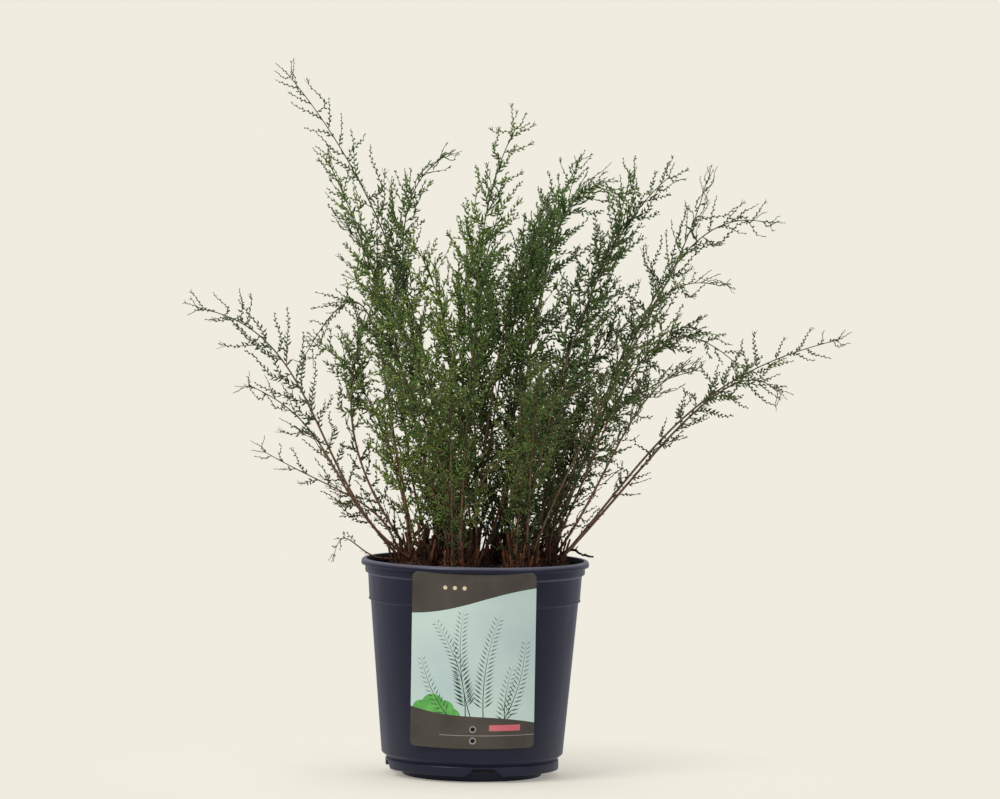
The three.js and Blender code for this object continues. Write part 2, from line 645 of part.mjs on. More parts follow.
// A strip bent round an upright axis, trimmed to a card with round corners, punched twice and leant back
function labelSolid() {
  const { width, height, thickness, bend, corner, top, front } = LABEL;
  const half = width / 2 / bend;
  const arc = (radius) => Array.from({ length: LABEL_STRIPS + 1 }, (_, i) => {
    const angle = -half + (2 * half * i) / LABEL_STRIPS;
    return new THREE.Vector2(radius * Math.sin(angle), bend - radius * Math.cos(angle));
  });
  const section = new THREE.Shape([...arc(bend), ...arc(bend - thickness).reverse()]);
  const strip = new THREE.ExtrudeGeometry(section, { depth: height, bevelEnabled: false });
  const card = toSolid(strip).intersect(throughCard(roundedCard(width, height, corner)));
  const punched = LABEL_HOLES.heights.reduce((left, z) => {
    const hole = new THREE.Shape();
    hole.absarc(LABEL_HOLES.x, z, LABEL_HOLES.radius, 0, 2 * Math.PI);
    return left.subtract(throughCard(hole, 6));
  }, card);
  const lean = LABEL_LEAN_DEGREES;
  return punched.translate([0, 0, -height]).rotate([lean, 0, 0]).translate([0, -front - thickness, top]);
}

function roundedCard(width, height, corner) {
  const outline = new THREE.Shape();
  outline.absarc(width / 2 - corner, height - corner, corner, 0, Math.PI / 2);
  outline.absarc(corner - width / 2, height - corner, corner, Math.PI / 2, Math.PI);
  outline.absarc(corner - width / 2, corner, corner, Math.PI, 1.5 * Math.PI);
  outline.absarc(width / 2 - corner, corner, corner, 1.5 * Math.PI, 2 * Math.PI);
  return outline;
}

function throughCard(outline, curveSegments = 4) {
  const depth = LABEL.width;
  const geometry = new THREE.ExtrudeGeometry(outline, { depth, bevelEnabled: false, curveSegments });
  geometry.translate(0, 0, -depth / 2);
  geometry.rotateX(Math.PI / 2);
  return toSolid(geometry);
}

function twigPoints() {
  return TWIG_POINTS.map((point) => new THREE.Vector3(...point));
}

function twigSolid() {
  const points = twigPoints();
  const radii = points.map((_, k) => TWIG_RADIUS * (1 - 0.1 * k));
  return rodSolid(points, radii, new THREE.Vector3(0, 1, 0));
}

function twigSocket() {
  const [foot, next] = twigPoints();
  const start = foot.clone().lerp(next, -0.03);
  const radius = TWIG_RADIUS + 2 * SOCKET_CLEARANCE;
  return rodSolid([start, next], [radius, radius], new THREE.Vector3(0, 1, 0));
}

// Assembly

function buildFern() {
  const group = new THREE.Group();
  const { plans, taken } = planFronds();
  const ribs = plans.map(midribPoints);
  const sockets = plans.map((plan, i) => socketSolid(plan, ribs[i]));
  const knobs = Object.entries(CROWNS);

  group.add(toMesh('pot', potSolid(), MATERIALS.pot));
  group.add(toMesh('label', labelSolid(), MATERIALS.label));
  const pockets = [...knobs.map(([, crown]) => crownSolid(crown, GAP)), twigSocket(), ...sockets];
  const soil = pockets.reduce((left, pocket) => left.subtract(pocket), soilSolid());
  group.add(toMesh('soil', soil, MATERIALS.soil));
  knobs.forEach(([name, crown]) => {
    const knob = sockets.reduce((left, socket) => left.subtract(socket), crownSolid(crown, 0));
    group.add(toMesh(`crown_${name}`, knob, MATERIALS.crown));
  });
  const fronds = {};
  plans.forEach((plan, i) => {
    const frond = frondSolid(plan, ribs[i], taken);
    fronds[plan.name] = fronds[plan.name] ? fronds[plan.name].add(frond) : frond;
  });
  Object.entries(fronds).forEach(([name, frond]) => {
    group.add(toMesh(`frond_${name}`, frond, MATERIALS.frond));
  });
  group.add(toMesh('twig', twigSolid(), MATERIALS.twig));
  return group;
}

export default buildFern();
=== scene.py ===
import math

import bmesh
import bpy
import numpy as np
from mathutils import Matrix, Vector, noise
from mathutils.geometry import delaunay_2d_cdt


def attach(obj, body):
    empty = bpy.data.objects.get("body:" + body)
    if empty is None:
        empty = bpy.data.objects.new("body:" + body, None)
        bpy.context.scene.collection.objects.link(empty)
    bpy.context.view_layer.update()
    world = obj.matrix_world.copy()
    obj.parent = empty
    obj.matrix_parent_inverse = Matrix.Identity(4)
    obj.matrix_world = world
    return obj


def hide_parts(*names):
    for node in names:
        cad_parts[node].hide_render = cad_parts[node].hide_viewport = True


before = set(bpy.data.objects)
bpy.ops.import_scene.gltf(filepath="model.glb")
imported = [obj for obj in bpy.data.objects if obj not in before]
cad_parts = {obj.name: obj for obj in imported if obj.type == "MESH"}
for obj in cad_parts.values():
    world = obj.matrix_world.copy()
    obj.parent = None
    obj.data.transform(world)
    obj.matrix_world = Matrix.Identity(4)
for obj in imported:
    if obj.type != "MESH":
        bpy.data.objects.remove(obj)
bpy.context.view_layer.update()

# Lengths are millimetres, as in the solids, except the floor's, the lamps' and the materials', in metres.
MM = 0.001

# Pot
POT_HEIGHT = 180
LIP_RADIUS = 95
LIP_UNDERSIDE_Z = 174.5
LIP_SEAT_RADIUS = 91.7
COLLAR_TOP = (89.2, 167)
COLLAR_BOTTOM = (87.9, 147.6)
RAISED_LINE = 0.7
WALL_TOP = (86.6, 145)
WALL_BOTTOM = (75.7, 18.5)
GROOVE = (70.6, 14.4)
SKIRT_RADIUS, SKIRT_TOP, SKIRT_BOTTOM = 72.3, 13.4, 5.9
FOOT_INNER, FOOT_OUTER, FOOT_HEIGHT = 53, 58, 5.9
CENTRE_FOOT_RADIUS = 12
FLOOR_UNDERSIDE_Z, FLOOR_TOP_Z = 4.2, 9.4
WALL_THICKNESS = 1.8
DRAIN_COUNT, DRAIN_FIRST_DEGREES = 4, -82
DRAIN_TOP_WIDTH, DRAIN_BOTTOM_WIDTH = 17, 35
DRAIN_TOP_Z, DRAIN_BOTTOM_Z = 12, 4.6
DRAIN_INNER, DRAIN_OUTER = 59.5, 78
POT_TURNS = 160

# Growing mix and rootstocks
GAP = 0.3
SOIL_EDGE = COLLAR_TOP[0] - WALL_THICKNESS - GAP
SOIL_SURFACE = [(0, 174), (17, 174), (45, 173), (74, 169.5), (SOIL_EDGE, 167)]
SOIL_SEED, SOIL_TURNS, SOIL_STEPS, SOIL_CENTRE = 71, 120, 44, 0.5
CRUMB_COUNT, CRUMB_REACH = 520, 84
ROOT_COUNT, ROOT_REACH, ROOT_POINTS, ROOT_STEP = 80, 76, 7, 2.2
CROWN_PROFILE = [(0.8, 163), (0.98, 173), (0.82, 179), (0.46, 183.5), (0, 185)]
CROWN_SEED, CROWN_SCALES, CROWN_STUBS = 900, 420, 60
KNOB_TURNS, KNOB_RINGS = 28, 14
CROWNS = {
    "left": (-50, -8, 20),
    "centre": (-6, -4, 17),
    "right": (57, -5, 20),
    "back_left": (-26, 38, 17),
    "back_right": (26, 42, 15),
    "front_left": (-12, -48, 15),
    "front_right": (38, -42, 15),
}

# Label
LABEL_WIDTH, LABEL_HEIGHT, LABEL_THICKNESS = 105, 145.5, 0.7
LABEL_BEND, LABEL_CORNER, LABEL_TOP, LABEL_FRONT = 120, 4, 174.2, 92.45
LABEL_LEAN_DEGREES = 6
LABEL_HOLES = [(0.5, 16.3), (0.5, 6.7)]
LABEL_HOLE_RADIUS = 2
LABEL_STEP = 4
LABEL_CREASE_SHADE_Z, LABEL_CREASE_SHADE_WIDTH = 10.8, 0.45
# The printed stalks: foot, tip, bow, pairs of leaves and leaf size
LABEL_STALKS = [
    ((-6, 18), (-34, 108), -9, 20, 11), ((2, 16), (-8, 117), 7, 22, 12), ((10, 14), (22, 112), 6, 21, 12),
    ((20, 14), (44, 92), -6, 17, 11), ((28, 12), (34, 70), 4, 12, 10), ((-14, 20), (-44, 78), 5, 13, 9),
]
# The printed shrub's round lobes: middle and radius
LABEL_LOBES = [(-33, 35, 10), (-43, 31, 8), (-23, 32, 8), (-16, 27, 6)]

# Fronds, by the same rule as the solids
STIPE_TOP_Z = 181
STIPE_DEPTH = 11.5
STIPE_RADIUS = 1.45
MIDRIB_STEPS = 6
LEAFLETS_PER_BUILT_TALL, LEAFLETS_PER_BUILT_BUSH = 3, 5
LEAFLET_SPACING = 8
LEAFLET_ANGLE = 58
LEAFLET_LIFT = 0.25
LEAFLET_TWIST = 35
LEAFLET_CURL = 0.3
FINGER_LENGTH = 17
FINGER_ANGLE = 35
CREST_SHARE = 0.6
FROND_SEED = 41
BUSH_SEED = 8
TALL_FRONDS = [
    ("upper_left", (-17, 1), [(-38, -10, 322), (-84, -20, 459)], (-160, -30, 579), 0.36, 42, 75),
    ("left_tall", (-30, 33), [(-53, 40, 293), (-91, 45, 417)], (-129, 45, 508), 0.3, 44, 50),
    ("left_arch", (-62, -13), [(-118, -30, 263), (-160, -38, 342)], (-229, -40, 386), 0.42, 44, 70),
    ("left_middle", (-53, -23), [(-102, -50, 232), (-133, -75, 284)], (-185, -90, 325), 0.4, 34, 40),
    ("left_low", (-63, -3), [(-84, 5, 216), (-122, 15, 238)], (-178, 25, 265), 0.3, 36, 60),
    ("left_upright", (-52, 3), [(-99, 10, 265), (-105, 25, 333)], (-89, 35, 393), 0.4, 36, 60),
    ("left_nodding", (-44, -6), [(-71, -10, 292), (-94, -15, 386)], (-144, -20, 348), 0.35, 34, 70),
    ("left_back", (-36, 42), [(-61, 60, 283), (-74, 80, 374)], (-115, 95, 454), 0.3, 44, 20),
    ("right_long", (70, -9), [(133, -12, 260), (198, -15, 324)], (295, -20, 368), 0.52, 34, 80),
    ("right_spray", (71, 1), [(137, 25, 256), (200, 40, 319)], (250, 50, 323), 0.5, 36, 50),
    ("right_arch", (58, -15), [(102, -35, 284), (145, -50, 361)], (212, -60, 349), 0.3, 40, 50),
    ("right_high", (51, 0), [(102, 0, 298), (157, 5, 420)], (236, 10, 465), 0.3, 46, 65),
    ("right_upright", (45, -38), [(93, -60, 294), (148, -70, 404)], (184, -80, 499), 0.28, 44, 40),
    ("right_tall", (35, -38), [(60, -40, 300), (98, -30, 417)], (156, -20, 502), 0.28, 44, 60),
    ("right_back", (31, 44), [(59, 55, 302), (98, 60, 411)], (124, 60, 499), 0.25, 46, 40),
    ("middle_left", (-18, 42), [(-45, 60, 309), (-66, 70, 433)], (-32, 75, 515), 0.28, 42, 50),
    ("middle_tall", (1, -10), [(-3, 0, 313), (0, 0, 438)], (28, 0, 540), 0.28, 46, 80),
    ("middle_back", (20, 42), [(31, 35, 303), (49, 30, 421)], (80, 30, 509), 0.25, 46, 60),
    ("middle_right", (5, 2), [(37, -30, 316), (62, -45, 451)], (114, -55, 485), 0.28, 46, 30),
    ("right_far", (57, 10), [(95, 40, 279), (136, 70, 378)], (204, 90, 409), 0.3, 40, 40),
    ("right_low", (64, -4), [(102, -60, 252), (133, -90, 313)], (173, -110, 347), 0.35, 34, 30),
    ("sprig", (-74, -21), [(-94, -30, 189), (-108, -34, 198)], (-117, -40, 183), 0.5, 11, 70),
]
BUSH = [
    ("inner", 7, 1, (35, 95), (427, 502), 0.24, 44),
    ("outer", 7, 1, (140, 200), (317, 422), 0.24, 42),
    ("young", 8, 2, (55, 125), (265, 340), 0.16, 34),
    ("low", 5, 1, (60, 110), (218, 268), 0.14, 28),
]
STEM_FAN_DEGREES = 40
BUSH_CENTRE_X = 18
ROOT_SHARE = 0.35
BUSH_TRIES = 60
MIDRIB_CLEARANCE = 0.4
GOLDEN_ANGLE = 137.5

# The dead stalk that leans over the rim
TWIG_POINTS = [(62, 21, 163), (70, 17, 181), (77, 14, 188), (83.5, 12, 188.2), (89.5, 10, 184),
               (98.5, 8, 182.8)]
TWIG_RADIUS, TWIG_SWELL = 1.3, 1.15
TWIG_SEED, TWIG_STEPS = 5, 26
# Its broken side stubs: the step that each grows from, and the way it points
TWIG_STUBS = [(9, (0.4, -0.5, 0.8)), (15, (0.5, 0.5, 0.7)), (20, (0.6, -0.6, 0.3))]

# Fine foliage that the solids leave out
MIDRIB_POINTS = 44
MIDRIB_RADII = (1.15, 0.9, 0.35)
RIB_POINTS = 6
RIB_RADIUS = 0.5
FORK_ANGLE = 26
LOWER_SPACING = 5
BETWEEN_SHARE = 0.78
SCALE_LENGTH = 4
SCALE_WIDTH = 1.1
STIPE_SCALES, SPRIG_SCALES = 40, 8
LOWEST_WIRY_LEAFLET = 0.45
SCALE_THICKNESS, PINNULE_THICKNESS = 0.3, 0.5
FORKED_LENGTH = 13
# Tones run from 0, dark, to 1, bright. Fronds whose tips lie near the lit left side are painted brighter:
# painted light.
TONE_RANGE, SPARSE_TONE = (0.26, 0.52), 0.14
PAINTED_LIGHT_SIDE_X, PAINTED_LIGHT_SIDE_WIDTH, PAINTED_LIGHT_TONE = -60, 60, 0.24
# Pinnules: spacing along the rib, length, width, lean to the rib in degrees, and spread of the lean. "forks"
# is the share of the longer leaflets that fork at the tip.
LUSH = {"spacing": 2.1, "length": 9.8, "width": 2.2, "lean": 38, "spread": 17, "forks": 0.6}
WIRY = {"spacing": 2.3, "length": 6.8, "width": 1.9, "lean": 38, "spread": 16, "forks": 0.4}
COMB = {"spacing": 1.9, "length": 6.4, "width": 2.0, "lean": 44, "spread": 10, "forks": 0.4}
WIRY_FRONDS = ("upper_left", "left_arch", "left_nodding", "left_middle", "right_upright", "right_high",
               "right_far", "right_low", "left_low", "sprig")
COMB_FRONDS = ("right_long", "right_spray")

# Camera and light
CAMERA_DISTANCE = 4500
CAMERA_ELEVATION = 2.68
CAMERA_ROLL = 0.98
CAMERA_TARGET = (18.3, 0, 313.6)
FRAME_WIDTH = 833.3
SENSOR_WIDTH = 36
BACKDROP = (0.871, 0.837, 0.745)
AMBIENT_STRENGTH = 0.75
# In metres: the floor, and each lamp's name, place, size, power and colour
FLOOR_RADIUS, FLOOR_FADE, FLOOR_SOLIDITY = 1.6, (0.07, 0.32), 0.7
LAMP_TARGET = (0, 0, 0.35)
LAMPS = [
    ("key", (-1.3, -1.5, 1.7), 1.0, 36, (1, 0.98, 0.93)),
    ("fill", (1.6, -1.2, 0.9), 1.2, 7, (0.93, 0.96, 1)),
    ("top", (0.2, 0.6, 1.9), 1.2, 10, (1, 1, 1)),
]


def radians(degrees):
    return degrees * math.pi / 180


def unit(v):
    return v / np.linalg.norm(v)


def unit_rows(rows):
    return rows / np.linalg.norm(rows, axis=1)[:, None]


def round_turns(count):
    """The angles of evenly spaced points on a circle."""
    return [2 * math.pi * i / count for i in range(count)]


def lerp(a, b, t):
    return a + (b - a) * t


def random_stream(seed):
    """The solids' repeatable stream of numbers from 0 to 1."""
    word = 0xFFFFFFFF
    state = seed & word

    def draw():
        nonlocal state
        state = (state + 0x6D2B79F5) & word
        mixed = ((state ^ (state >> 15)) * (state | 1)) & word
        mixed ^= (mixed + ((mixed ^ (mixed >> 7)) * (mixed | 61))) & word
        return ((mixed ^ (mixed >> 14)) & word) / 4294967296

    return draw


def turned_about(vector, axis, angle):
    """A vector turned by the right-hand rule about a unit axis."""
    return (vector * math.cos(angle) + np.cross(axis, vector) * math.sin(angle)
            + axis * np.dot(axis, vector) * (1 - math.cos(angle)))


# Frond plan


class Curve:
    """The smooth curve that starts at the first of four points, passes the next two and ends at the last."""

    def __init__(self, points):
        p = np.array(points, float)
        self.p = np.array([p[0], (-5 * p[0] + 18 * p[1] - 9 * p[2] + 2 * p[3]) / 6,
                           (2 * p[0] - 9 * p[1] + 18 * p[2] - 5 * p[3]) / 6, p[3]])

    def at(self, t):
        t = np.asarray(t, float)[..., None]
        p = self.p
        return (1 - t) ** 3 * p[0] + 3 * (1 - t) ** 2 * t * p[1] + 3 * (1 - t) * t ** 2 * p[2] + t ** 3 * p[3]

    def along(self, t):
        p = self.p
        return unit((1 - t) ** 2 * (p[1] - p[0]) + 2 * (1 - t) * t * (p[2] - p[1]) + t ** 2 * (p[3] - p[2]))

    def length(self):
        points = self.at(np.linspace(0, 1, 201))
        return float(np.linalg.norm(np.diff(points, axis=0), axis=1).sum())


def frond_frame(plan, t):
    along = plan["curve"].along(t)
    heading = plan["tip"] - plan["root"]
    level = np.cross((0, 0, 1), unit(heading * (1, 1, 0)))
    across = turned_about(unit(level - along * np.dot(along, level)), along, radians(plan["roll"]))
    return along, across, np.cross(along, across)


def plan_frond(row, number, per_built):
    name, root, via, tip, bare, leaflet, roll = row
    root = np.array([*root, STIPE_TOP_Z], float)
    tip = np.array(tip, float)
    return {"name": name, "root": root, "tip": tip, "curve": Curve([root, *via, tip]), "bare": bare,
            "leaflet": leaflet, "roll": roll, "number": number, "per_built": per_built}


def leaflet_share(along):
    return (0.55 + 0.45 * min(1, along / 0.3)) * (1 - 0.66 * along ** 1.6)


def plan_leaflets(plan):
    """Leaflets stand left and right in turn, lean to the tip, and twist and bend a little at random."""
    draw = random_stream(FROND_SEED + plan["number"])
    bare = plan["bare"]
    leafy = plan["curve"].length() * (1 - bare)
    count = max(2, math.floor(leafy / (LEAFLET_SPACING * plan["per_built"]) + 0.5)) * plan["per_built"]
    leaflets = []
    for k in range(count):
        share = (k + 0.5) / count
        twist_draw, angle_draw, length_draw = draw(), draw(), draw()
        t = bare + (1 - bare) * share
        along, across, normal = frond_frame(plan, t)
        twist = radians((twist_draw * 2 - 1) * LEAFLET_TWIST)
        angle = radians(LEAFLET_ANGLE - 16 * share + (angle_draw - 0.5) * 20)
        hand = 1 if k % 2 == 0 else -1
        outward = across * (hand * math.cos(twist)) + normal * math.sin(twist)
        direction = along * math.cos(angle) + outward * math.sin(angle)
        direction[2] += LEAFLET_LIFT
        length = plan["leaflet"] * leaflet_share(share) * (0.8 + 0.4 * length_draw)
        leaflets.append((plan["curve"].at(t), unit(direction), along * LEAFLET_CURL, normal, length))
    return leaflets


def crown_below(x, y):
    def away(crown):
        return math.hypot(crown[0] - x * ROOT_SHARE, crown[1] - y * ROOT_SHARE)

    return min(CROWNS.values(), key=away)


def root_below(tip, draw):
    x, y, r = crown_below(tip[0], tip[1])
    heading = draw() * 2 * math.pi
    reach = r * (0.3 + 0.45 * draw())
    return (x + reach * math.cos(heading), y + reach * math.sin(heading))


def tuft_row(kind, name, tuft, stem, shared_root, draw):
    """One frond of a tuft: it rises steeply, then arches out to its tip."""
    _, _, stems, reaches, heights, bare, leaflet = kind
    fan = (stem - (stems - 1) / 2) * STEM_FAN_DEGREES
    heading = radians(tuft * GOLDEN_ANGLE + fan + (draw() - 0.5) * 30)
    reach = lerp(*reaches, draw())
    height = lerp(*heights, draw())
    tip = (BUSH_CENTRE_X + 0.85 * reach * math.cos(heading), reach * math.sin(heading), height)
    root = shared_root or root_below(tip, draw)

    def between(out, rise):
        return (lerp(root[0], tip[0], out), lerp(root[1], tip[1], out), lerp(STIPE_TOP_Z, height, rise))

    via = [between(0.2, 0.42), between(0.52, 0.78)]
    return (name, root, via, tip, bare, leaflet, (draw() - 0.5) * 90)


def crest_length(plan):
    return min(FINGER_LENGTH, plan["leaflet"] * CREST_SHARE)


def midrib_points(plan):
    """The midrib's straight steps, from inside the rootstock to the tip of the crest's middle finger."""
    points = plan["curve"].at(np.linspace(0, 1, MIDRIB_STEPS + 1))
    points[0] += unit(points[0] - points[1]) * STIPE_DEPTH
    return np.vstack([points, plan["tip"] + frond_frame(plan, 1)[0] * crest_length(plan)])


def stretch_gaps(a, b, c, d):
    """Closest distances between each stretch a-b and each stretch c-d."""
    a, b, c, d = a[:, None], b[:, None], c[None], d[None]
    u, v, w = b - a, d - c, a - c
    uu, uv, vv = (u * u).sum(-1), (u * v).sum(-1), (v * v).sum(-1)
    uw, vw = (u * w).sum(-1), (v * w).sum(-1)
    area = uu * vv - uv * uv
    s = np.where(area > 1e-9, np.clip((uv * vw - vv * uw) / np.maximum(area, 1e-12), 0, 1), 0)
    t = (uv * s + vw) / vv
    beyond = (t < 0) | (t > 1)
    t = np.clip(t, 0, 1)
    s = np.where(beyond, np.clip((uv * t - uw) / uu, 0, 1), s)
    return np.linalg.norm(w + u * s[..., None] - v * t[..., None], axis=-1)


def plan_tuft(kind, name, tuft, first, chains, draw):
    """The stems of one tuft, whose draws are repeated until each midrib runs clear."""
    plans, root = [], None
    for _ in range(BUSH_TRIES):
        if len(plans) == kind[2]:
            break
        row = tuft_row(kind, name, tuft, len(plans), root, draw)
        plan = plan_frond(row, first + len(plans), LEAFLETS_PER_BUILT_BUSH)
        points = midrib_points(plan)
        room = STIPE_RADIUS + MIDRIB_CLEARANCE
        if all((stretch_gaps(points[:-1], points[1:], other[:-1], other[1:]) > room + radius).all()
               for other, radius in chains):
            plans.append(plan)
            root = row[1]
    return plans


def plan_fronds():
    """Every frond: the listed ones, then the bush's tufts."""
    plans = [plan_frond(row, number, LEAFLETS_PER_BUILT_TALL) for number, row in enumerate(TALL_FRONDS)]
    draw = random_stream(BUSH_SEED)
    chains = [(midrib_points(plan), STIPE_RADIUS) for plan in plans]
    chains.append((np.array(TWIG_POINTS, float), TWIG_RADIUS))
    tuft = 0
    for kind in BUSH:
        for number in range(kind[1]):
            found = plan_tuft(kind, f"{kind[0]}_{number + 1:02d}", tuft, len(plans), chains, draw)
            plans.extend(found)
            chains.extend((midrib_points(plan), STIPE_RADIUS) for plan in found)
            tuft += 1
    return plans


# Meshes


def linked(name, data):
    """A new object of this mesh, light or camera, linked to the scene."""
    made = bpy.data.objects.new(name, data)
    bpy.context.scene.collection.objects.link(made)
    return made


def from_bmesh(name, mesh):
    """A new object of a finished bmesh, which is freed."""
    data = bpy.data.meshes.new(name)
    mesh.to_mesh(data)
    mesh.free()
    return linked(name, data)


class Skin:
    """Collects corners and faces, with a material number and a tint for each, and makes one mesh object."""

    def __init__(self):
        self.points, self.faces, self.kinds, self.tints = [], [], [], []
        self.count = 0

    def add(self, points, faces, kind=0, tint=0.5):
        points = np.asarray(points, float).reshape(-1, 3)
        self.points.append(points)
        self.faces.extend((np.asarray(faces) + self.count).tolist())
        self.kinds.append(np.full(len(faces), kind, np.int32))
        self.tints.append(np.broadcast_to(np.asarray(tint, np.float32), len(points)))
        self.count += len(points)

    def add_faces(self, faces, kind):
        """More faces on corners that are already there, by their numbers in the whole skin."""
        self.faces.extend(faces)
        self.kinds.append(np.full(len(faces), kind, np.int32))

    def add_rings(self, rings, kind, tint, clockwise=False):
        """A closed body of rings of corners, clockwise or not as seen from the last, with its ends closed."""
        count, turns = np.shape(rings)[:2]
        first = self.count
        start = np.arange(count - 1)[:, None] * turns
        i = np.arange(turns)
        j = (i + 1) % turns
        sides = np.stack([start + i, start + j, start + turns + j, start + turns + i], -1).reshape(-1, 4)
        ends = np.array([i[::-1], (count - 1) * turns + i])
        if clockwise:
            sides, ends = sides[:, [0, 3, 2, 1]], ends[:, ::-1]
        self.add(rings, sides, kind, tint)
        self.add_faces((first + ends).tolist(), kind)

    def make(self, name, materials, smooth=True):
        mesh = bpy.data.meshes.new(name)
        mesh.from_pydata((np.concatenate(self.points) * MM).tolist(), [], self.faces)
        mesh.polygons.foreach_set("material_index", np.concatenate(self.kinds))
        mesh.polygons.foreach_set("use_smooth", np.full(len(mesh.polygons), smooth))
        tint = mesh.attributes.new("tint", "FLOAT", "POINT")
        tint.data.foreach_set("value", np.concatenate(self.tints))
        for material in materials:
            mesh.materials.append(material)
        mesh.update()
        return linked(name, mesh)


def settle(piece, cad_node):
    """The piece rides on the plant's one body and stands for the CAD node named."""
    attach(piece, "root")
    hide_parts(cad_node)


def add_tube(skin, points, radii, sides, up, kind, tint=0.5):
    """A closed tapering tube round a line of points."""
    points = np.asarray(points, float)
    along = unit_rows(np.gradient(points, axis=0))
    across = unit_rows(np.cross(along, up))
    normal = np.cross(across, along)
    turn = np.arange(sides) * 2 * math.pi / sides
    ring = across[:, None] * np.cos(turn)[None, :, None] + normal[:, None] * np.sin(turn)[None, :, None]
    rings = points[:, None] + ring * np.asarray(radii, float)[:, None, None]
    skin.add_rings(rings, kind, tint, clockwise=True)


# A narrow leaf blade with three-cornered sections: (share of length, half width, thickness) up to its tip
STRAP_SECTIONS = ((0, 0.22, 0.5), (0.42, 0.5, 1))
STRAP_CORNERS = ((-1, 0), (0, 1), (1, 0))


def strap_faces():
    faces = [(2, 1, 0)]
    for i in range(3):
        j = (i + 1) % 3
        faces.extend([(i, j, 3 + j), (i, 3 + j, 3 + i)])
    return np.array(faces + [(3 + i, 3 + (i + 1) % 3, 6) for i in range(3)])


def add_straps(skin, foot, direction, forward, length, width, thickness, tint, kind):
    """Many narrow blades at once. Each bends a little the way that `forward` points."""
    side = unit_rows(forward - direction * (forward * direction).sum(1)[:, None])
    normal = np.cross(direction, side)
    corners = np.empty((len(foot), 7, 3))
    for row, (share, half, depth) in enumerate(STRAP_SECTIONS):
        middle = foot + direction * (share * length)[:, None] - side * (0.12 * share * length)[:, None]
        for k, (out, above) in enumerate(STRAP_CORNERS):
            corners[:, row * 3 + k] = (middle + side * (out * half * width)[:, None]
                                       + normal * (above - 1 / 3) * depth * thickness)
    corners[:, 6] = foot + direction * length[:, None] + side * (0.07 * length)[:, None]
    faces = strap_faces()[None] + (np.arange(len(foot)) * 7)[:, None, None]
    skin.add(corners.reshape(-1, 3), faces.reshape(-1, 3), kind, np.repeat(tint, 7))


# Foliage

STEM, LEAF, SCALE = 0, 1, 2


def rib_path(foot, direction, bend, length, sway):
    v = np.linspace(0, 1, RIB_POINTS)[:, None]
    return foot + direction * length * v + bend * length * v * v + sway * np.sin(v * math.pi * 1.6) * length


class Pinnules:
    """Collects a frond's pinnules, the narrow lobes of its leaflets, and adds them all at once."""

    def __init__(self, style, rng):
        self.style, self.rng, self.rows = style, rng, []

    def line(self, path, normal, size, tint):
        """Pinnules along a rib, left and right in turn, shorter to its tip."""
        rng, style = self.rng, self.style
        reach = np.linalg.norm(np.diff(path, axis=0), axis=1).sum()
        count = max(2, int(reach / style["spacing"]))
        share = (np.arange(count) + 0.8 + rng.uniform(-0.25, 0.25, count)) / (count + 0.3)
        place = share * (len(path) - 1)
        step = np.minimum(place.astype(int), len(path) - 2)
        foot = lerp(path[step], path[step + 1], (place - step)[:, None])
        along = unit_rows(path[step + 1] - path[step])
        across = np.cross(normal, along) * np.where(np.arange(count) % 2 == 0, 1, -1)[:, None]
        lean = np.radians(style["lean"] + rng.normal(0, style["spread"], count))[:, None]
        raised = normal * rng.normal(0, 0.28, (count, 1))
        direction = unit_rows(along * np.cos(lean) + across * np.sin(lean) + raised)
        length = style["length"] * size * (1 - 0.74 * share ** 1.5) * rng.uniform(0.65, 1.15, count)
        width = style["width"] * (0.7 + 0.3 * length / style["length"])
        shade = tint + rng.normal(0, 0.07, count) + 0.12 * share
        self.rows.append((foot, direction, along, length, width, shade))

    def finish(self, skin):
        foot, direction, along, length, width, shade = (np.concatenate(part) for part in zip(*self.rows))
        add_straps(skin, foot, direction, along, length, width, PINNULE_THICKNESS, shade, LEAF)


def add_leaflet(skin, pinnules, leaflet, rng, tint, vigour=1):
    """One narrow leaflet: its rib, its pinnules, and the fingers that its tip forks into."""
    foot, direction, bend, normal, length = leaflet
    direction = unit(direction + rng.normal(0, 0.24, 3))
    sway = unit(np.cross(normal, direction)) * rng.normal(0, 0.15) + normal * rng.normal(0, 0.15)
    path = rib_path(foot, direction, bend, length, sway)
    radii = np.linspace(RIB_RADIUS, RIB_RADIUS * 0.5, len(path)) * min(1, 0.6 + length / 80)
    add_tube(skin, path, radii, 3, normal, STEM, tint)
    size = min(1, 0.45 + length / 60) * vigour
    pinnules.line(path, normal, size, tint)
    if length > FORKED_LENGTH and rng.random() < pinnules.style["forks"]:
        along = unit(path[-1] - path[-2])
        fork = lerp(path[-2], path[-1], 0.3)
        for turn in ((-1, 1) if rng.random() < 0.6 else (-1, 0.1, 1)):
            heading = turned_about(along, normal, radians(turn * FORK_ANGLE * rng.uniform(0.7, 1.3)))
            finger = fork + heading * np.linspace(0, length * rng.uniform(0.14, 0.26), 3)[:, None]
            add_tube(skin, finger, np.linspace(0.28, 0.16, 3), 3, normal, STEM, tint)
            if pinnules.style is LUSH:
                pinnules.line(finger, normal, size * 0.24, tint + 0.06)


def frond_style(name):
    if name in COMB_FRONDS:
        return COMB
    return WIRY if name in WIRY_FRONDS else LUSH


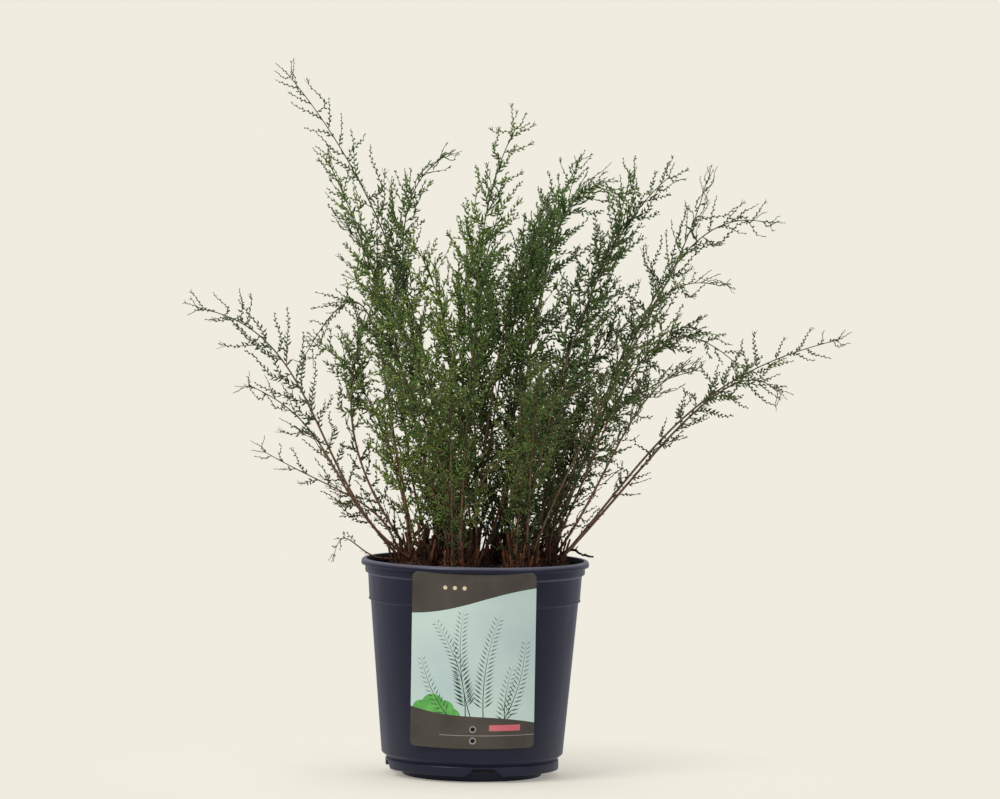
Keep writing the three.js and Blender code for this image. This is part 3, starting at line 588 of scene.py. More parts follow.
def add_frond(skin, plan):
    rng = np.random.default_rng(FROND_SEED * 1000 + plan["number"])
    style = frond_style(plan["name"])
    pinnules = Pinnules(style, rng)
    # Painted light: brighter to the left, where the light falls, darker in the middle and to the right
    nearness = math.exp(-((plan["tip"][0] - PAINTED_LIGHT_SIDE_X) / PAINTED_LIGHT_SIDE_WIDTH) ** 2)
    tone = rng.uniform(*TONE_RANGE) + PAINTED_LIGHT_TONE * nearness
    if style is not LUSH:
        tone -= SPARSE_TONE
    add_midrib(skin, plan, rng)
    leaflets = plan_leaflets(plan)
    for k, leaflet in enumerate(leaflets):
        share = k / len(leaflets)
        shade = tone + rng.normal(0, 0.07) + 0.1 * share
        add_leaflet(skin, pinnules, leaflet, rng, shade, 1 - 0.5 * share ** 2)
    if style is LUSH:
        for leaflet in between_leaflets(leaflets, rng):
            add_leaflet(skin, pinnules, leaflet, rng, tone - 0.04 + rng.normal(0, 0.07), 0.9)
    # Painted shade: the lower leaflets are darker the lower they stand on the frond
    for share, leaflet in lower_leaflets(plan, rng):
        if style is LUSH or share > LOWEST_WIRY_LEAFLET and rng.random() < 0.6:
            add_leaflet(skin, pinnules, leaflet, rng, tone - 0.08 - 0.36 * (1 - share), 0.6 + 0.3 * share)
    along, _, normal = frond_frame(plan, 1)
    for turn in (-1, 0, 1):
        size = crest_length(plan) * (1 if turn == 0 else 0.85)
        direction = turned_about(along, normal, radians(turn * FINGER_ANGLE))
        finger = (plan["tip"] - along, direction, along * 0, normal, size)
        add_leaflet(skin, pinnules, finger, rng, tone + 0.1, 0.36)
    pinnules.finish(skin)
    add_stipe_scales(skin, plan, rng)


def between_leaflets(leaflets, rng):
    """Shorter leaflets halfway between the planned ones, turned out of their plane."""
    reach = int(len(leaflets) * BETWEEN_SHARE)
    for first, second in zip(leaflets[:reach], leaflets[1:]):
        foot, _, bend, normal, length = first
        along = unit(second[0] - foot)
        turn = rng.uniform(0.9, 2.2) * rng.choice((-1, 1))
        direction = turned_about(second[1], along, turn)
        yield (foot + second[0]) / 2, direction, bend, turned_about(normal, along, turn), 0.85 * length


def lower_leaflets(plan, rng):
    """The smaller leaflets below a frond's leafy part, each with its share of the way up to it."""
    count = int(plan["curve"].length() * plan["bare"] / LOWER_SPACING)
    for k in range(count):
        share = lerp(0.1, 0.97, (k + rng.uniform(0.2, 0.8)) / count)
        t = plan["bare"] * share
        along, across, normal = frond_frame(plan, t)
        turn = rng.uniform(0, 2 * math.pi)
        outward = across * math.cos(turn) + normal * math.sin(turn)
        direction = unit(along * 0.75 + outward)
        length = plan["leaflet"] * rng.uniform(0.35, 0.7)
        facing = np.cross(direction, outward)
        yield share, (plan["curve"].at(t), direction, along * LEAFLET_CURL, facing, length)


def add_midrib(skin, plan, rng):
    curve, bare = plan["curve"], plan["bare"]
    t = np.linspace(0, 1, MIDRIB_POINTS)
    points = np.vstack([midrib_points(plan)[0], curve.at(t)])
    radii = np.interp(np.concatenate([[0], t]), (0, bare, 1), MIDRIB_RADII)
    _, across, _ = frond_frame(plan, 0.5)
    if plan["name"] == "sprig":
        radii = radii * 0.6
    add_tube(skin, points, radii, 6, across, STEM, rng.uniform(0.2, 0.8))


def add_stipe_scales(skin, plan, rng):
    """Rusty papery scales on the foot of the stipe, fewer further up."""
    count = SPRIG_SCALES if plan["name"] == "sprig" else STIPE_SCALES
    t = np.minimum((75 * rng.random(count) ** 2.2) / plan["curve"].length(), 0.6)
    foot = plan["curve"].at(t)
    along = np.array([plan["curve"].along(place) for place in t])
    outward = unit_rows(np.cross(along, rng.normal(size=(count, 3))))
    direction = unit_rows(along * 0.8 + outward * rng.uniform(0.25, 0.7, (count, 1)))
    add_straps(skin, foot + outward * 0.9, direction, np.cross(direction, outward),
               SCALE_LENGTH * rng.uniform(0.6, 1.3, count), np.full(count, SCALE_WIDTH), SCALE_THICKNESS,
               rng.uniform(0.1, 0.9, count), SCALE)


# Rootstocks and growing mix


def crown_height(share):
    """How high a rootstock's knob stands at a share of its radius."""
    shares, heights = zip(*reversed(CROWN_PROFILE[1:]))
    return np.interp(share, shares, heights)


def crown_skin(crown, number):
    rng = np.random.default_rng(CROWN_SEED + number)
    x, y, r = crown
    skin = Skin()
    add_knob(skin, x, y, r)
    add_stubs(skin, x, y, r, rng)
    count = CROWN_SCALES
    share = np.sqrt((np.arange(count) + 0.5) / count) * 0.98
    turn = np.arange(count) * radians(GOLDEN_ANGLE) + rng.normal(0, 0.1, count)
    out = np.stack([np.cos(turn), np.sin(turn), np.zeros(count)], 1)
    foot = np.array([x, y, 0]) + out * (r * share)[:, None]
    foot[:, 2] = crown_height(share) - 0.8
    direction = unit_rows(out * (0.3 + share)[:, None] + (0, 0, 1.1) + rng.normal(0, 0.22, (count, 3)))
    add_straps(skin, foot, direction, np.cross(direction, out), rng.uniform(3.5, 8, count),
               rng.uniform(0.8, 1.6, count), 0.3, rng.uniform(0, 1, count) ** 1.4, SCALE)
    return skin


def add_knob(skin, x, y, r):
    """A rootstock's lumpy body."""
    profile = np.array([(0, CROWN_PROFILE[0][1]), *CROWN_PROFILE], float)
    place = np.linspace(0, len(profile) - 1, KNOB_RINGS)
    radius = np.interp(place, range(len(profile)), profile[:, 0]) * r
    height = np.interp(place, range(len(profile)), profile[:, 1])
    rings = []
    for reach, z in zip(radius[1:-1], height[1:-1]):
        ring = []
        for turn in round_turns(KNOB_TURNS):
            out_x, out_y = math.cos(turn), math.sin(turn)
            lump = 1 + 0.07 * noise.noise(Vector((x + 5 * out_x, y + 5 * out_y, z * 0.3)))
            ring.append((x + reach * lump * out_x, y + reach * lump * out_y, z))
        rings.append(ring)
    skin.add_rings(rings, SCALE, 0.25)


def add_stubs(skin, x, y, r, rng):
    """Short broken feet of last year's fronds."""
    for _ in range(CROWN_STUBS):
        turn = rng.uniform(0, 2 * math.pi)
        share = rng.uniform(0.25, 0.92)
        out = np.array([math.cos(turn), math.sin(turn), 0])
        foot = np.array([x, y, 0]) + out * r * share
        foot[2] = crown_height(share) - 3
        lean = unit(out * 0.35 * share + np.array([0, 0, 1]) + rng.normal(0, 0.12, 3))
        size = rng.uniform(5, 34) * (1.1 - 0.5 * share)
        path = foot + lean * np.linspace(0, size, 5)[:, None] + rng.normal(0, 0.25, (5, 3))
        add_tube(skin, path, np.linspace(1.35, 0.85, 5) * rng.uniform(0.7, 1.1), 6, out + 0.01, SCALE,
                 rng.uniform(0.1, 0.8))


def inner_wall(offset):
    inset = WALL_THICKNESS + offset
    return [(GROOVE[0] - inset, FLOOR_TOP_Z + offset), (GROOVE[0] - inset, GROOVE[1]),
            (WALL_BOTTOM[0] - inset, WALL_BOTTOM[1]), (WALL_TOP[0] - inset, WALL_TOP[1]),
            (COLLAR_BOTTOM[0] - inset, COLLAR_BOTTOM[1])]


def soil_skin():
    """The growing mix: a rough top that rises to the middle, with crumbs and fine roots on it."""
    rng = np.random.default_rng(SOIL_SEED)
    skin = Skin()
    below = [(SOIL_CENTRE, FLOOR_TOP_Z + GAP), *inner_wall(GAP)]
    top_radii = np.linspace(SOIL_EDGE, SOIL_CENTRE, SOIL_STEPS)
    rings = []
    for k, (r, z) in enumerate([*below, *zip(top_radii, soil_level(top_radii))]):
        ring = []
        for turn in round_turns(SOIL_TURNS):
            at = Vector((r * math.cos(turn), r * math.sin(turn), 0))
            ring.append((at.x, at.y, z + (soil_roughness(at) if k > len(below) else 0)))
        rings.append(ring)
    skin.add_rings(rings, 0, 0.4)
    add_crumbs(skin, rng)
    add_roots(skin, rng)
    return skin


def soil_level(reach):
    radii, heights = zip(*SOIL_SURFACE)
    return np.interp(reach, radii, heights)


def soil_roughness(at):
    return 1.5 * noise.noise(at * 0.13) + 0.8 * noise.noise(at * 0.45 + Vector((7, 3, 1)))


def soil_height(x, y):
    return soil_level(math.hypot(x, y)) + soil_roughness(Vector((x, y, 0)))


def add_crumbs(skin, rng):
    ball = bmesh.new()
    bmesh.ops.create_icosphere(ball, subdivisions=1, radius=1)
    corners = np.array([v.co for v in ball.verts])
    faces = [[v.index for v in face.verts] for face in ball.faces]
    ball.free()
    for _ in range(CRUMB_COUNT):
        turn = rng.uniform(0, 2 * math.pi)
        reach = CRUMB_REACH * math.sqrt(rng.random())
        x, y = reach * math.cos(turn), reach * math.sin(turn)
        size = rng.uniform(0.6, 2.3) * np.array([1, rng.uniform(0.6, 1), rng.uniform(0.4, 0.8)])
        spin = Matrix.Rotation(rng.uniform(0, 6.3), 3, "Z") @ Matrix.Rotation(rng.uniform(0, 1), 3, "X")
        lumpy = corners * rng.uniform(0.75, 1.2, (len(corners), 1)) * size
        placed = lumpy @ np.array(spin).T + (x, y, soil_height(x, y) + size[2] * 0.4)
        skin.add(placed, faces, 0, rng.uniform(0, 1))


def add_roots(skin, rng):
    for _ in range(ROOT_COUNT):
        turn = rng.uniform(0, 2 * math.pi)
        reach = ROOT_REACH * math.sqrt(rng.random())
        x, y = reach * math.cos(turn), reach * math.sin(turn)
        heading = rng.uniform(0, 2 * math.pi)
        points = []
        for _ in range(ROOT_POINTS):
            points.append((x, y, soil_height(x, y) + 0.3))
            heading += rng.normal(0, 0.5)
            x, y = x + ROOT_STEP * math.cos(heading), y + ROOT_STEP * math.sin(heading)
        add_tube(skin, points, np.linspace(0.4, 0.2, ROOT_POINTS), 4, (0, 0.01, 1), 0, rng.uniform(0.6, 1))


# Pot


def rounded(profile, radius, steps=3):
    """The outline with each of its corners replaced by a short curve."""
    profile = [np.array(p, float) for p in profile]
    outline = [profile[0]]
    for before, corner, after in zip(profile, profile[1:], profile[2:]):
        reach = min(radius, 0.4 * np.linalg.norm(corner - before), 0.4 * np.linalg.norm(after - corner))
        start = corner + unit(before - corner) * reach
        end = corner + unit(after - corner) * reach
        for t in np.linspace(0, 1, steps + 1):
            outline.append((1 - t) ** 2 * start + 2 * (1 - t) * t * corner + t ** 2 * end)
    outline.append(profile[-1])
    return outline


def pot_profile():
    collar_r, collar_z = COLLAR_BOTTOM
    top_r, top_z = COLLAR_TOP
    outside = [
        (0, 0), (CENTRE_FOOT_RADIUS, 0), (CENTRE_FOOT_RADIUS + 1.5, FLOOR_UNDERSIDE_Z),
        (FOOT_INNER - 1, FLOOR_UNDERSIDE_Z), (FOOT_INNER, 0), (FOOT_OUTER, 0), (FOOT_OUTER, FOOT_HEIGHT),
        (SKIRT_RADIUS, SKIRT_BOTTOM), (SKIRT_RADIUS, SKIRT_TOP), GROOVE, WALL_BOTTOM, WALL_TOP,
        (collar_r + RAISED_LINE, collar_z - 1.3), (collar_r, collar_z), COLLAR_TOP,
        (top_r + RAISED_LINE, top_z + 0.9), (LIP_SEAT_RADIUS, top_z + 2), (LIP_SEAT_RADIUS, LIP_UNDERSIDE_Z),
        (LIP_RADIUS, LIP_UNDERSIDE_Z + 0.6), (LIP_RADIUS, POT_HEIGHT - 1.8), (LIP_RADIUS - 1.3, POT_HEIGHT),
        (LIP_RADIUS - 4, POT_HEIGHT), (top_r - 0.8, LIP_UNDERSIDE_Z + 2), (top_r - WALL_THICKNESS, top_z),
    ]
    return rounded([*outside, *reversed(inner_wall(0)), (0, FLOOR_TOP_Z)], 0.7)


def pot_piece(materials):
    mesh = bmesh.new()
    profile = pot_profile()
    line = [mesh.verts.new((r * MM, 0, z * MM)) for r, z in profile]
    edges = [mesh.edges.new(pair) for pair in zip(line, line[1:])]
    bmesh.ops.spin(mesh, geom=line + edges, cent=(0, 0, 0), axis=(0, 0, 1), angle=2 * math.pi,
                   steps=POT_TURNS)
    bmesh.ops.remove_doubles(mesh, verts=mesh.verts, dist=1e-6)
    bmesh.ops.recalc_face_normals(mesh, faces=mesh.faces)
    piece = from_bmesh("pot_shell", mesh)
    for material in materials:
        piece.data.materials.append(material)
    for number in range(DRAIN_COUNT):
        cut_notch(piece, DRAIN_FIRST_DEGREES + number * 360 / DRAIN_COUNT)
    # Painted shade: faces turned to the pot's axis get the darker, duller pot_inside material
    for face in piece.data.polygons:
        outward = Vector((face.center.x, face.center.y, 0))
        face.material_index = int(face.normal.dot(outward.normalized()) < -0.5)
    piece.data.shade_smooth()
    piece.data.set_sharp_from_angle(angle=radians(40))
    return piece


def cut_notch(piece, degrees):
    """A drain notch through the skirt and the edge of the floor."""
    mesh = bmesh.new()
    corners = [(DRAIN_BOTTOM_WIDTH / 2, DRAIN_BOTTOM_Z), (DRAIN_TOP_WIDTH / 2, DRAIN_TOP_Z),
               (-DRAIN_TOP_WIDTH / 2, DRAIN_TOP_Z), (-DRAIN_BOTTOM_WIDTH / 2, DRAIN_BOTTOM_Z)]
    near, far = ([mesh.verts.new((reach * MM, y * MM, z * MM)) for y, z in corners]
                 for reach in (DRAIN_INNER, DRAIN_OUTER))
    mesh.faces.new(near)
    mesh.faces.new(list(reversed(far)))
    for i in range(4):
        j = (i + 1) % 4
        mesh.faces.new((near[j], near[i], far[i], far[j]))
    bmesh.ops.rotate(mesh, verts=mesh.verts, matrix=Matrix.Rotation(radians(degrees), 3, "Z"))
    bmesh.ops.recalc_face_normals(mesh, faces=mesh.faces)
    cutter = from_bmesh("notch", mesh)
    cut = piece.modifiers.new("notch", "BOOLEAN")
    cut.object = cutter
    cut.solver = "EXACT"
    apply_modifiers(piece)
    bpy.data.objects.remove(cutter)


def apply_modifiers(piece):
    graph = bpy.context.evaluated_depsgraph_get()
    finished = bpy.data.meshes.new_from_object(piece.evaluated_get(graph))
    old = piece.data
    piece.modifiers.clear()
    piece.data = finished
    finished.name = old.name
    bpy.data.meshes.remove(old)


# Label

CARD, PANEL, BAND, DARK_SPRIG, BRIGHT_LEAF, CREAM, ROSE, RIM = range(8)


def on_label(u, v, depth=0):
    """A place on the label's face: u across from its middle, v up from its lower edge, depth behind it."""
    angle = u / LABEL_BEND
    reach = LABEL_BEND - depth
    x = reach * math.sin(angle)
    y = LABEL_BEND - reach * math.cos(angle)
    z = v - LABEL_HEIGHT
    lean = radians(LABEL_LEAN_DEGREES)
    return (x, y * math.cos(lean) - z * math.sin(lean) - LABEL_FRONT - LABEL_THICKNESS,
            y * math.sin(lean) + z * math.cos(lean) + LABEL_TOP)


def circle(cx, cy, radius, count):
    return [(cx + radius * math.cos(turn), cy + radius * math.sin(turn)) for turn in round_turns(count)]


def card_outline():
    side, low, high = LABEL_WIDTH / 2 - LABEL_CORNER, LABEL_CORNER, LABEL_HEIGHT - LABEL_CORNER
    outline = []
    for quarter, (cx, cy) in enumerate([(side, high), (-side, high), (-side, low), (side, low)]):
        for i in range(6):
            turn = (quarter + i / 5) * math.pi / 2
            outline.append((cx + LABEL_CORNER * math.cos(turn), cy + LABEL_CORNER * math.sin(turn)))
    return outline


def wave(u, level, slope, swell):
    return level + slope * u / 50 + swell * math.sin(u / 21)


def band_outlines():
    """Two plain bands with waved edges, one along the top and one along the bottom."""
    half, height = LABEL_WIDTH / 2 + 1, LABEL_HEIGHT + 1
    us = np.linspace(-half, half, 30)
    top = [(u, wave(u, 122, 9, 2.5)) for u in us] + [(half, height), (-half, height)]
    bottom = [(u, wave(u, 27, -7, 2)) for u in us] + [(half, -1), (-half, -1)]
    return [top, bottom]


def sprig_outlines(foot, tip, bow, pairs, size):
    """A plain arching stalk with pairs of narrow leaves."""
    foot, tip = np.array(foot, float), np.array(tip, float)
    span = tip - foot
    across = np.array([-span[1], span[0]]) / np.linalg.norm(span)

    def at(t):
        return foot + span * t + across * bow * 4 * t * (1 - t)

    def side(t):
        d = at(min(1, t + 0.01)) - at(max(0, t - 0.01))
        return np.array([-d[1], d[0]]) / np.linalg.norm(d)

    def edge(hand):
        return [at(t) + side(t) * hand * 0.45 * (1.1 - t) for t in np.linspace(0, 1, 12)]

    outlines = [edge(1) + edge(-1)[::-1]]
    for k in range(pairs):
        t = 0.2 + 0.78 * k / pairs
        along = unit(at(min(1, t + 0.01)) - at(t - 0.01))
        for hand in (1, -1):
            start = at(t) + side(t) * hand * 0.75
            reach = size * (1 - 0.6 * t)
            out = unit(along * 0.75 + side(t) * hand)
            wide = np.array([-out[1], out[0]]) * reach * 0.06
            outlines.append([start, start + out * reach * 0.4 + wide, start + out * reach,
                             start + out * reach * 0.4 - wide])
    return outlines


def print_shapes():
    """The label's plain picture, from the back to the front: (outline, colour)."""
    shapes = [(card_outline(), PANEL)]
    shapes.extend((circle(*lobe, 26), BRIGHT_LEAF) for lobe in LABEL_LOBES)
    for stalk in LABEL_STALKS:
        shapes.extend((outline, DARK_SPRIG) for outline in sprig_outlines(*stalk))
    shapes.extend((outline, BAND) for outline in band_outlines())
    shapes.extend((circle(cx, 134, 1.7, 14), CREAM) for cx in (-24, -16, -8))
    shapes.append(([(14, 15), (40, 15), (40, 20), (14, 20)], ROSE))
    # Painted shade: a grey line where the card is creased near its foot; the card itself stays flat
    right, low, high = LABEL_WIDTH / 2, LABEL_CREASE_SHADE_Z, LABEL_CREASE_SHADE_Z + LABEL_CREASE_SHADE_WIDTH
    left = -0.52 * right
    shapes.append(([(left, low), (right, low), (right, high), (left, high)], RIM))
    shapes.extend((circle(*hole, LABEL_HOLE_RADIUS + 0.8, 18), RIM) for hole in LABEL_HOLES)
    return shapes


def finer(outline):
    """The same outline with its long edges split, so that they follow the card's bend."""
    points = []
    for (ax, ay), (bx, by) in zip(outline, [*outline[1:], outline[0]]):
        count = max(1, math.ceil(math.hypot(bx - ax, by - ay) / LABEL_STEP))
        points.extend((lerp(ax, bx, k / count), lerp(ay, by, k / count)) for k in range(count))
    return points


def inside(point, outline):
    x, y = point
    odd = False
    for (ax, ay), (bx, by) in zip(outline, [*outline[1:], outline[0]]):
        if (ay > y) != (by > y) and x < ax + (bx - ax) * (y - ay) / (by - ay):
            odd = not odd
    return odd


def reach_of(outline):
    """An outline's lowest and highest u, then its lowest and highest v."""
    us, vs = zip(*outline)
    return min(us), max(us), min(vs), max(vs)


def label_piece(materials):
    """The card, cut along every outline of its print, so each face has one colour."""
    shapes = print_shapes()
    holes = [circle(*hole, LABEL_HOLE_RADIUS, 18) for hole in LABEL_HOLES]
    loops = [finer(loop) for loop in (*holes, *(outline for outline, _ in shapes))]
    points, edges = [], []
    for loop in loops:
        start = len(points)
        points.extend(Vector((float(u), float(v))) for u, v in loop)
        edges.extend((start + i, start + (i + 1) % len(loop)) for i in range(len(loop)))
    grid = [(u, v) for u in np.arange(-50, 51, 4.0) for v in np.arange(2, 145, 6.0)]
    points.extend(Vector(p) for p in grid)
    flat, _, triangles, *_ = delaunay_2d_cdt(points, edges, [], 0, 1e-4)
    boxes = [reach_of(outline) for outline, _ in shapes]
    skin, kept, kinds = Skin(), [], []
    for triangle in triangles:
        middle = sum((flat[i] for i in triangle), Vector((0, 0))) / 3
        if not inside(middle, shapes[0][0]) or any(inside(middle, hole) for hole in holes):
            continue
        kind = CARD
        for (outline, colour), (u0, u1, v0, v1) in zip(shapes, boxes):
            if u0 <= middle.x <= u1 and v0 <= middle.y <= v1 and inside(middle, outline):
                kind = colour
        kept.append(list(triangle))
        kinds.append(kind)
    count = len(flat)
    skin.add([on_label(p.x, p.y) for p in flat], kept, CARD)
    skin.kinds[-1] = np.array(kinds, np.int32)
    skin.add([on_label(p.x, p.y, LABEL_THICKNESS) for p in flat], [triangle[::-1] for triangle in kept], CARD)
    skin.add_faces([[b, a, a + count, b + count] for a, b in open_edges(kept)], CARD)
    piece = skin.make("label_card", materials, smooth=False)
    tidy_mesh(piece)
    return piece


def open_edges(triangles):
    """The directed edges that only one triangle has."""
    seen = {(t[i], t[(i + 1) % 3]) for t in triangles for i in range(3)}
    return [(a, b) for a, b in seen if (b, a) not in seen]


def tidy_mesh(piece):
    mesh = bmesh.new()
    mesh.from_mesh(piece.data)
    loose = [v for v in mesh.verts if not v.link_faces]
    bmesh.ops.delete(mesh, geom=loose, context="VERTS")
    bmesh.ops.recalc_face_normals(mesh, faces=mesh.faces)
    mesh.to_mesh(piece.data)
    mesh.free()


# Twig


def twig_skin():
    rng = np.random.default_rng(TWIG_SEED)
    skin = Skin()
    knots = np.array(TWIG_POINTS, float)
    place = np.linspace(0, len(knots) - 1, TWIG_STEPS)
    points = np.stack([np.interp(place, range(len(knots)), knots[:, k]) for k in range(3)], 1)
    for _ in range(2):
        points[1:-1] = (points[:-2] + 2 * points[1:-1] + points[2:]) / 4
    points[3:] += rng.normal(0, 0.22, (TWIG_STEPS - 3, 3))
    radii = np.linspace(TWIG_RADIUS, TWIG_RADIUS * 0.5, TWIG_STEPS) * rng.uniform(0.85, 1.15, TWIG_STEPS)
    add_tube(skin, points, radii * TWIG_SWELL, 8, (0, 1, 0.1), 0)
    for step, lean in TWIG_STUBS:
        stub = points[step] + unit(np.array(lean, float)) * np.linspace(0, 4.5, 4)[:, None]
        add_tube(skin, stub, np.linspace(0.7, 0.3, 4), 6, (0.1, 1, 0.1), 0)
    return skin


# Materials


def new_material(name, roughness, specular=0.5):
    material = bpy.data.materials.new(name)
    material.use_nodes = True
    shader = material.node_tree.nodes["Principled BSDF"]
    shader.inputs["Roughness"].default_value = roughness
    shader.inputs["Specular IOR Level"].default_value = specular
    return material, material.node_tree, shader


def node(tree, kind, **inputs):
    made = tree.nodes.new(kind)
    for name, value in inputs.items():
        made.inputs[name.replace("_", " ")].default_value = value
    return made


def object_noise(tree, scale, detail=4, stretch=None):
    """Noise in the part's own space, in metres."""
    place = tree.nodes.new("ShaderNodeTexCoord").outputs["Object"]
    if stretch:
        mapping = node(tree, "ShaderNodeMapping", Scale=stretch)
        tree.links.new(place, mapping.inputs["Vector"])
        place = mapping.outputs["Vector"]
    texture = node(tree, "ShaderNodeTexNoise", Scale=scale, Detail=detail)
    tree.links.new(place, texture.inputs["Vector"])
    return texture.outputs["Fac"]


def object_height(tree, low, high):
    """From 0 at the low height in the part's space to 1 at the high one."""
    place = tree.nodes.new("ShaderNodeSeparateXYZ")
    tree.links.new(tree.nodes.new("ShaderNodeTexCoord").outputs["Object"], place.inputs["Vector"])
    height = node(tree, "ShaderNodeMapRange", From_Min=low, From_Max=high)
    tree.links.new(place.outputs["Z"], height.inputs["Value"])
    return height.outputs["Result"]


def blend_values(tree, first, second, factor):
    mix = tree.nodes.new("ShaderNodeMix")
    mix.inputs["Factor"].default_value = factor
    tree.links.new(first, mix.inputs[2])
    tree.links.new(second, mix.inputs[3])
    return mix.outputs[0]


def ramp(tree, value, stops):
    made = tree.nodes.new("ShaderNodeValToRGB")
    elements = made.color_ramp.elements
    while len(elements) < len(stops):
        elements.new(0.5)
    for element, (place, colour) in zip(elements, stops):
        element.position = place
        element.color = (*colour, 1)
    tree.links.new(value, made.inputs["Fac"])
    return made.outputs["Color"]


def bump(tree, shader, height, strength, distance):
    made = node(tree, "ShaderNodeBump", Strength=strength, Distance=distance)
    tree.links.new(height, made.inputs["Height"])
    tree.links.new(made.outputs["Normal"], shader.inputs["Normal"])


def tint_value(tree):
    attribute = tree.nodes.new("ShaderNodeAttribute")
    attribute.attribute_name = "tint"
    return attribute.outputs["Fac"]


def tinted_material(name, stops, roughness, noise_scale, noise_share, specular=0.4, bumps=None):
    """Colour from each piece's own tint, broken up by noise in the part's space."""
    material, tree, shader = new_material(name, roughness, specular)
    value = blend_values(tree, tint_value(tree), object_noise(tree, noise_scale), noise_share)
    tree.links.new(ramp(tree, value, stops), shader.inputs["Base Color"])
    if bumps:
        bump(tree, shader, object_noise(tree, bumps[0]), bumps[1], bumps[2])
    return material


def pot_material():
    """Blue-black plastic, with a paler painted highlight along the lip and the upper raised line."""
    material, tree, shader = new_material("pot_plastic", 0.36, 0.42)
    shader.inputs["Specular Tint"].default_value = (0.72, 0.78, 1, 1)
    shader.inputs["Sheen Weight"].default_value = 0.12
    shader.inputs["Sheen Tint"].default_value = (0.45, 0.45, 0.95, 1)
    cloud = object_noise(tree, 9, 3)
    plain = ramp(tree, cloud, [(0.3, (0.006, 0.007, 0.017)), (0.75, (0.0095, 0.0105, 0.025))])
    height = object_height(tree, COLLAR_BOTTOM[1] * MM, POT_HEIGHT * MM)
    span = POT_HEIGHT - COLLAR_BOTTOM[1]
    line = (COLLAR_TOP[1] + 0.9 - COLLAR_BOTTOM[1]) / span
    lip = (POT_HEIGHT - 2.5 - COLLAR_BOTTOM[1]) / span
    # Painted highlight: paler colour in bands at the upper raised line and the lip, standing for the light
    # they catch
    painted_highlight = ramp(tree, height, [(0, (0, 0, 0)), (line - 0.03, (0, 0, 0)), (line, (0.7, 0.7, 0.7)),
                               (line + 0.03, (0, 0, 0)), (lip, (0, 0, 0)), (1, (1, 1, 1))])
    mix = tree.nodes.new("ShaderNodeMix")
    mix.data_type = "RGBA"
    tree.links.new(painted_highlight, mix.inputs["Factor"])
    tree.links.new(plain, mix.inputs[6])
    # The painted highlight's colour
    mix.inputs[7].default_value = (0.15, 0.15, 0.19, 1)
    tree.links.new(mix.outputs[2], shader.inputs["Base Color"])
    streak = object_noise(tree, 60, 4, (1, 1, 0.12))
    gloss = ramp(tree, streak, [(0.3, (0.3, 0.3, 0.3)), (0.75, (0.46, 0.46, 0.46))])
    tree.links.new(gloss, shader.inputs["Roughness"])
    bump(tree, shader, object_noise(tree, 700, 3), 0.25, 0.0002)
    return material


def painted_shade_inside_material():
    # A darker, duller copy of the pot's plastic for the faces inside the pot: painted shade
    stops = [(0.3, (0.004, 0.004, 0.006)), (0.8, (0.009, 0.009, 0.012))]
    return tinted_material("pot_inside", stops, 0.8, 60, 0.6, 0.1)


def soil_material():
    stops = [(0.15, (0.006, 0.005, 0.004)), (0.5, (0.022, 0.015, 0.01)), (0.85, (0.075, 0.045, 0.026))]
    return tinted_material("growing_mix", stops, 0.95, 160, 0.5, 0.2, (900, 0.8, 0.0006))


def scale_material():
    stops = [(0.15, (0.01, 0.006, 0.004)), (0.5, (0.07, 0.026, 0.013)), (0.85, (0.26, 0.095, 0.042))]
    return tinted_material("rootstock_scales", stops, 0.75, 220, 0.4, 0.3, (1200, 0.5, 0.0003))


def stem_material():
    """Brown at the foot of each stipe, olive above, and green towards the leaves."""
    material, tree, shader = new_material("stems", 0.5, 0.4)
    value = blend_values(tree, object_height(tree, 0.18, 0.5), tint_value(tree), 0.3)
    value = blend_values(tree, value, object_noise(tree, 90), 0.25)
    stops = [(0.12, (0.1, 0.036, 0.018)), (0.34, (0.19, 0.1, 0.058)), (0.55, (0.08, 0.075, 0.03)),
             (0.85, (0.035, 0.06, 0.018))]
    tree.links.new(ramp(tree, value, stops), shader.inputs["Base Color"])
    return material


def leaf_material():
    stops = [(0.1, (0.018, 0.034, 0.014)), (0.36, (0.05, 0.1, 0.03)), (0.6, (0.145, 0.235, 0.05)),
             (0.9, (0.36, 0.44, 0.1))]
    return tinted_material("leaflets", stops, 0.6, 45, 0.35, 0.2)


def twig_material():
    stops = [(0.2, (0.012, 0.009, 0.007)), (0.8, (0.06, 0.042, 0.03))]
    return tinted_material("dead_stalk", stops, 0.9, 300, 0.7, 0.2, (1500, 0.7, 0.0004))


def print_material(name, first, second, scale=30):
    """One ink of the label, a little uneven, under a satin film."""
    material, tree, shader = new_material(name, 0.34, 0.45)
    colour = ramp(tree, object_noise(tree, scale, 3), [(0.3, first), (0.7, second)])
    tree.links.new(colour, shader.inputs["Base Color"])
    bump(tree, shader, object_noise(tree, 500, 2), 0.1, 0.0001)
    return material


def label_materials():
    """One ink for each number from CARD to RIM."""
    inks = [
        ("white", (0.5, 0.5, 0.47), (0.6, 0.6, 0.57)),
        ("sky", (0.5, 0.63, 0.64), (0.62, 0.76, 0.7), 14),
        ("band", (0.052, 0.044, 0.034), (0.085, 0.072, 0.056), 40),
        ("sprig", (0.012, 0.045, 0.02), (0.03, 0.085, 0.035), 120),
        ("shrub", (0.07, 0.33, 0.06), (0.17, 0.52, 0.12), 150),
        ("cream", (0.75, 0.62, 0.42), (0.82, 0.7, 0.5)),
        ("rose", (0.62, 0.12, 0.17), (0.7, 0.18, 0.22)),
        ("rim", (0.3, 0.29, 0.27), (0.42, 0.4, 0.38)),
    ]
    return [print_material(f"label_{name}", *look) for name, *look in inks]


# Stage


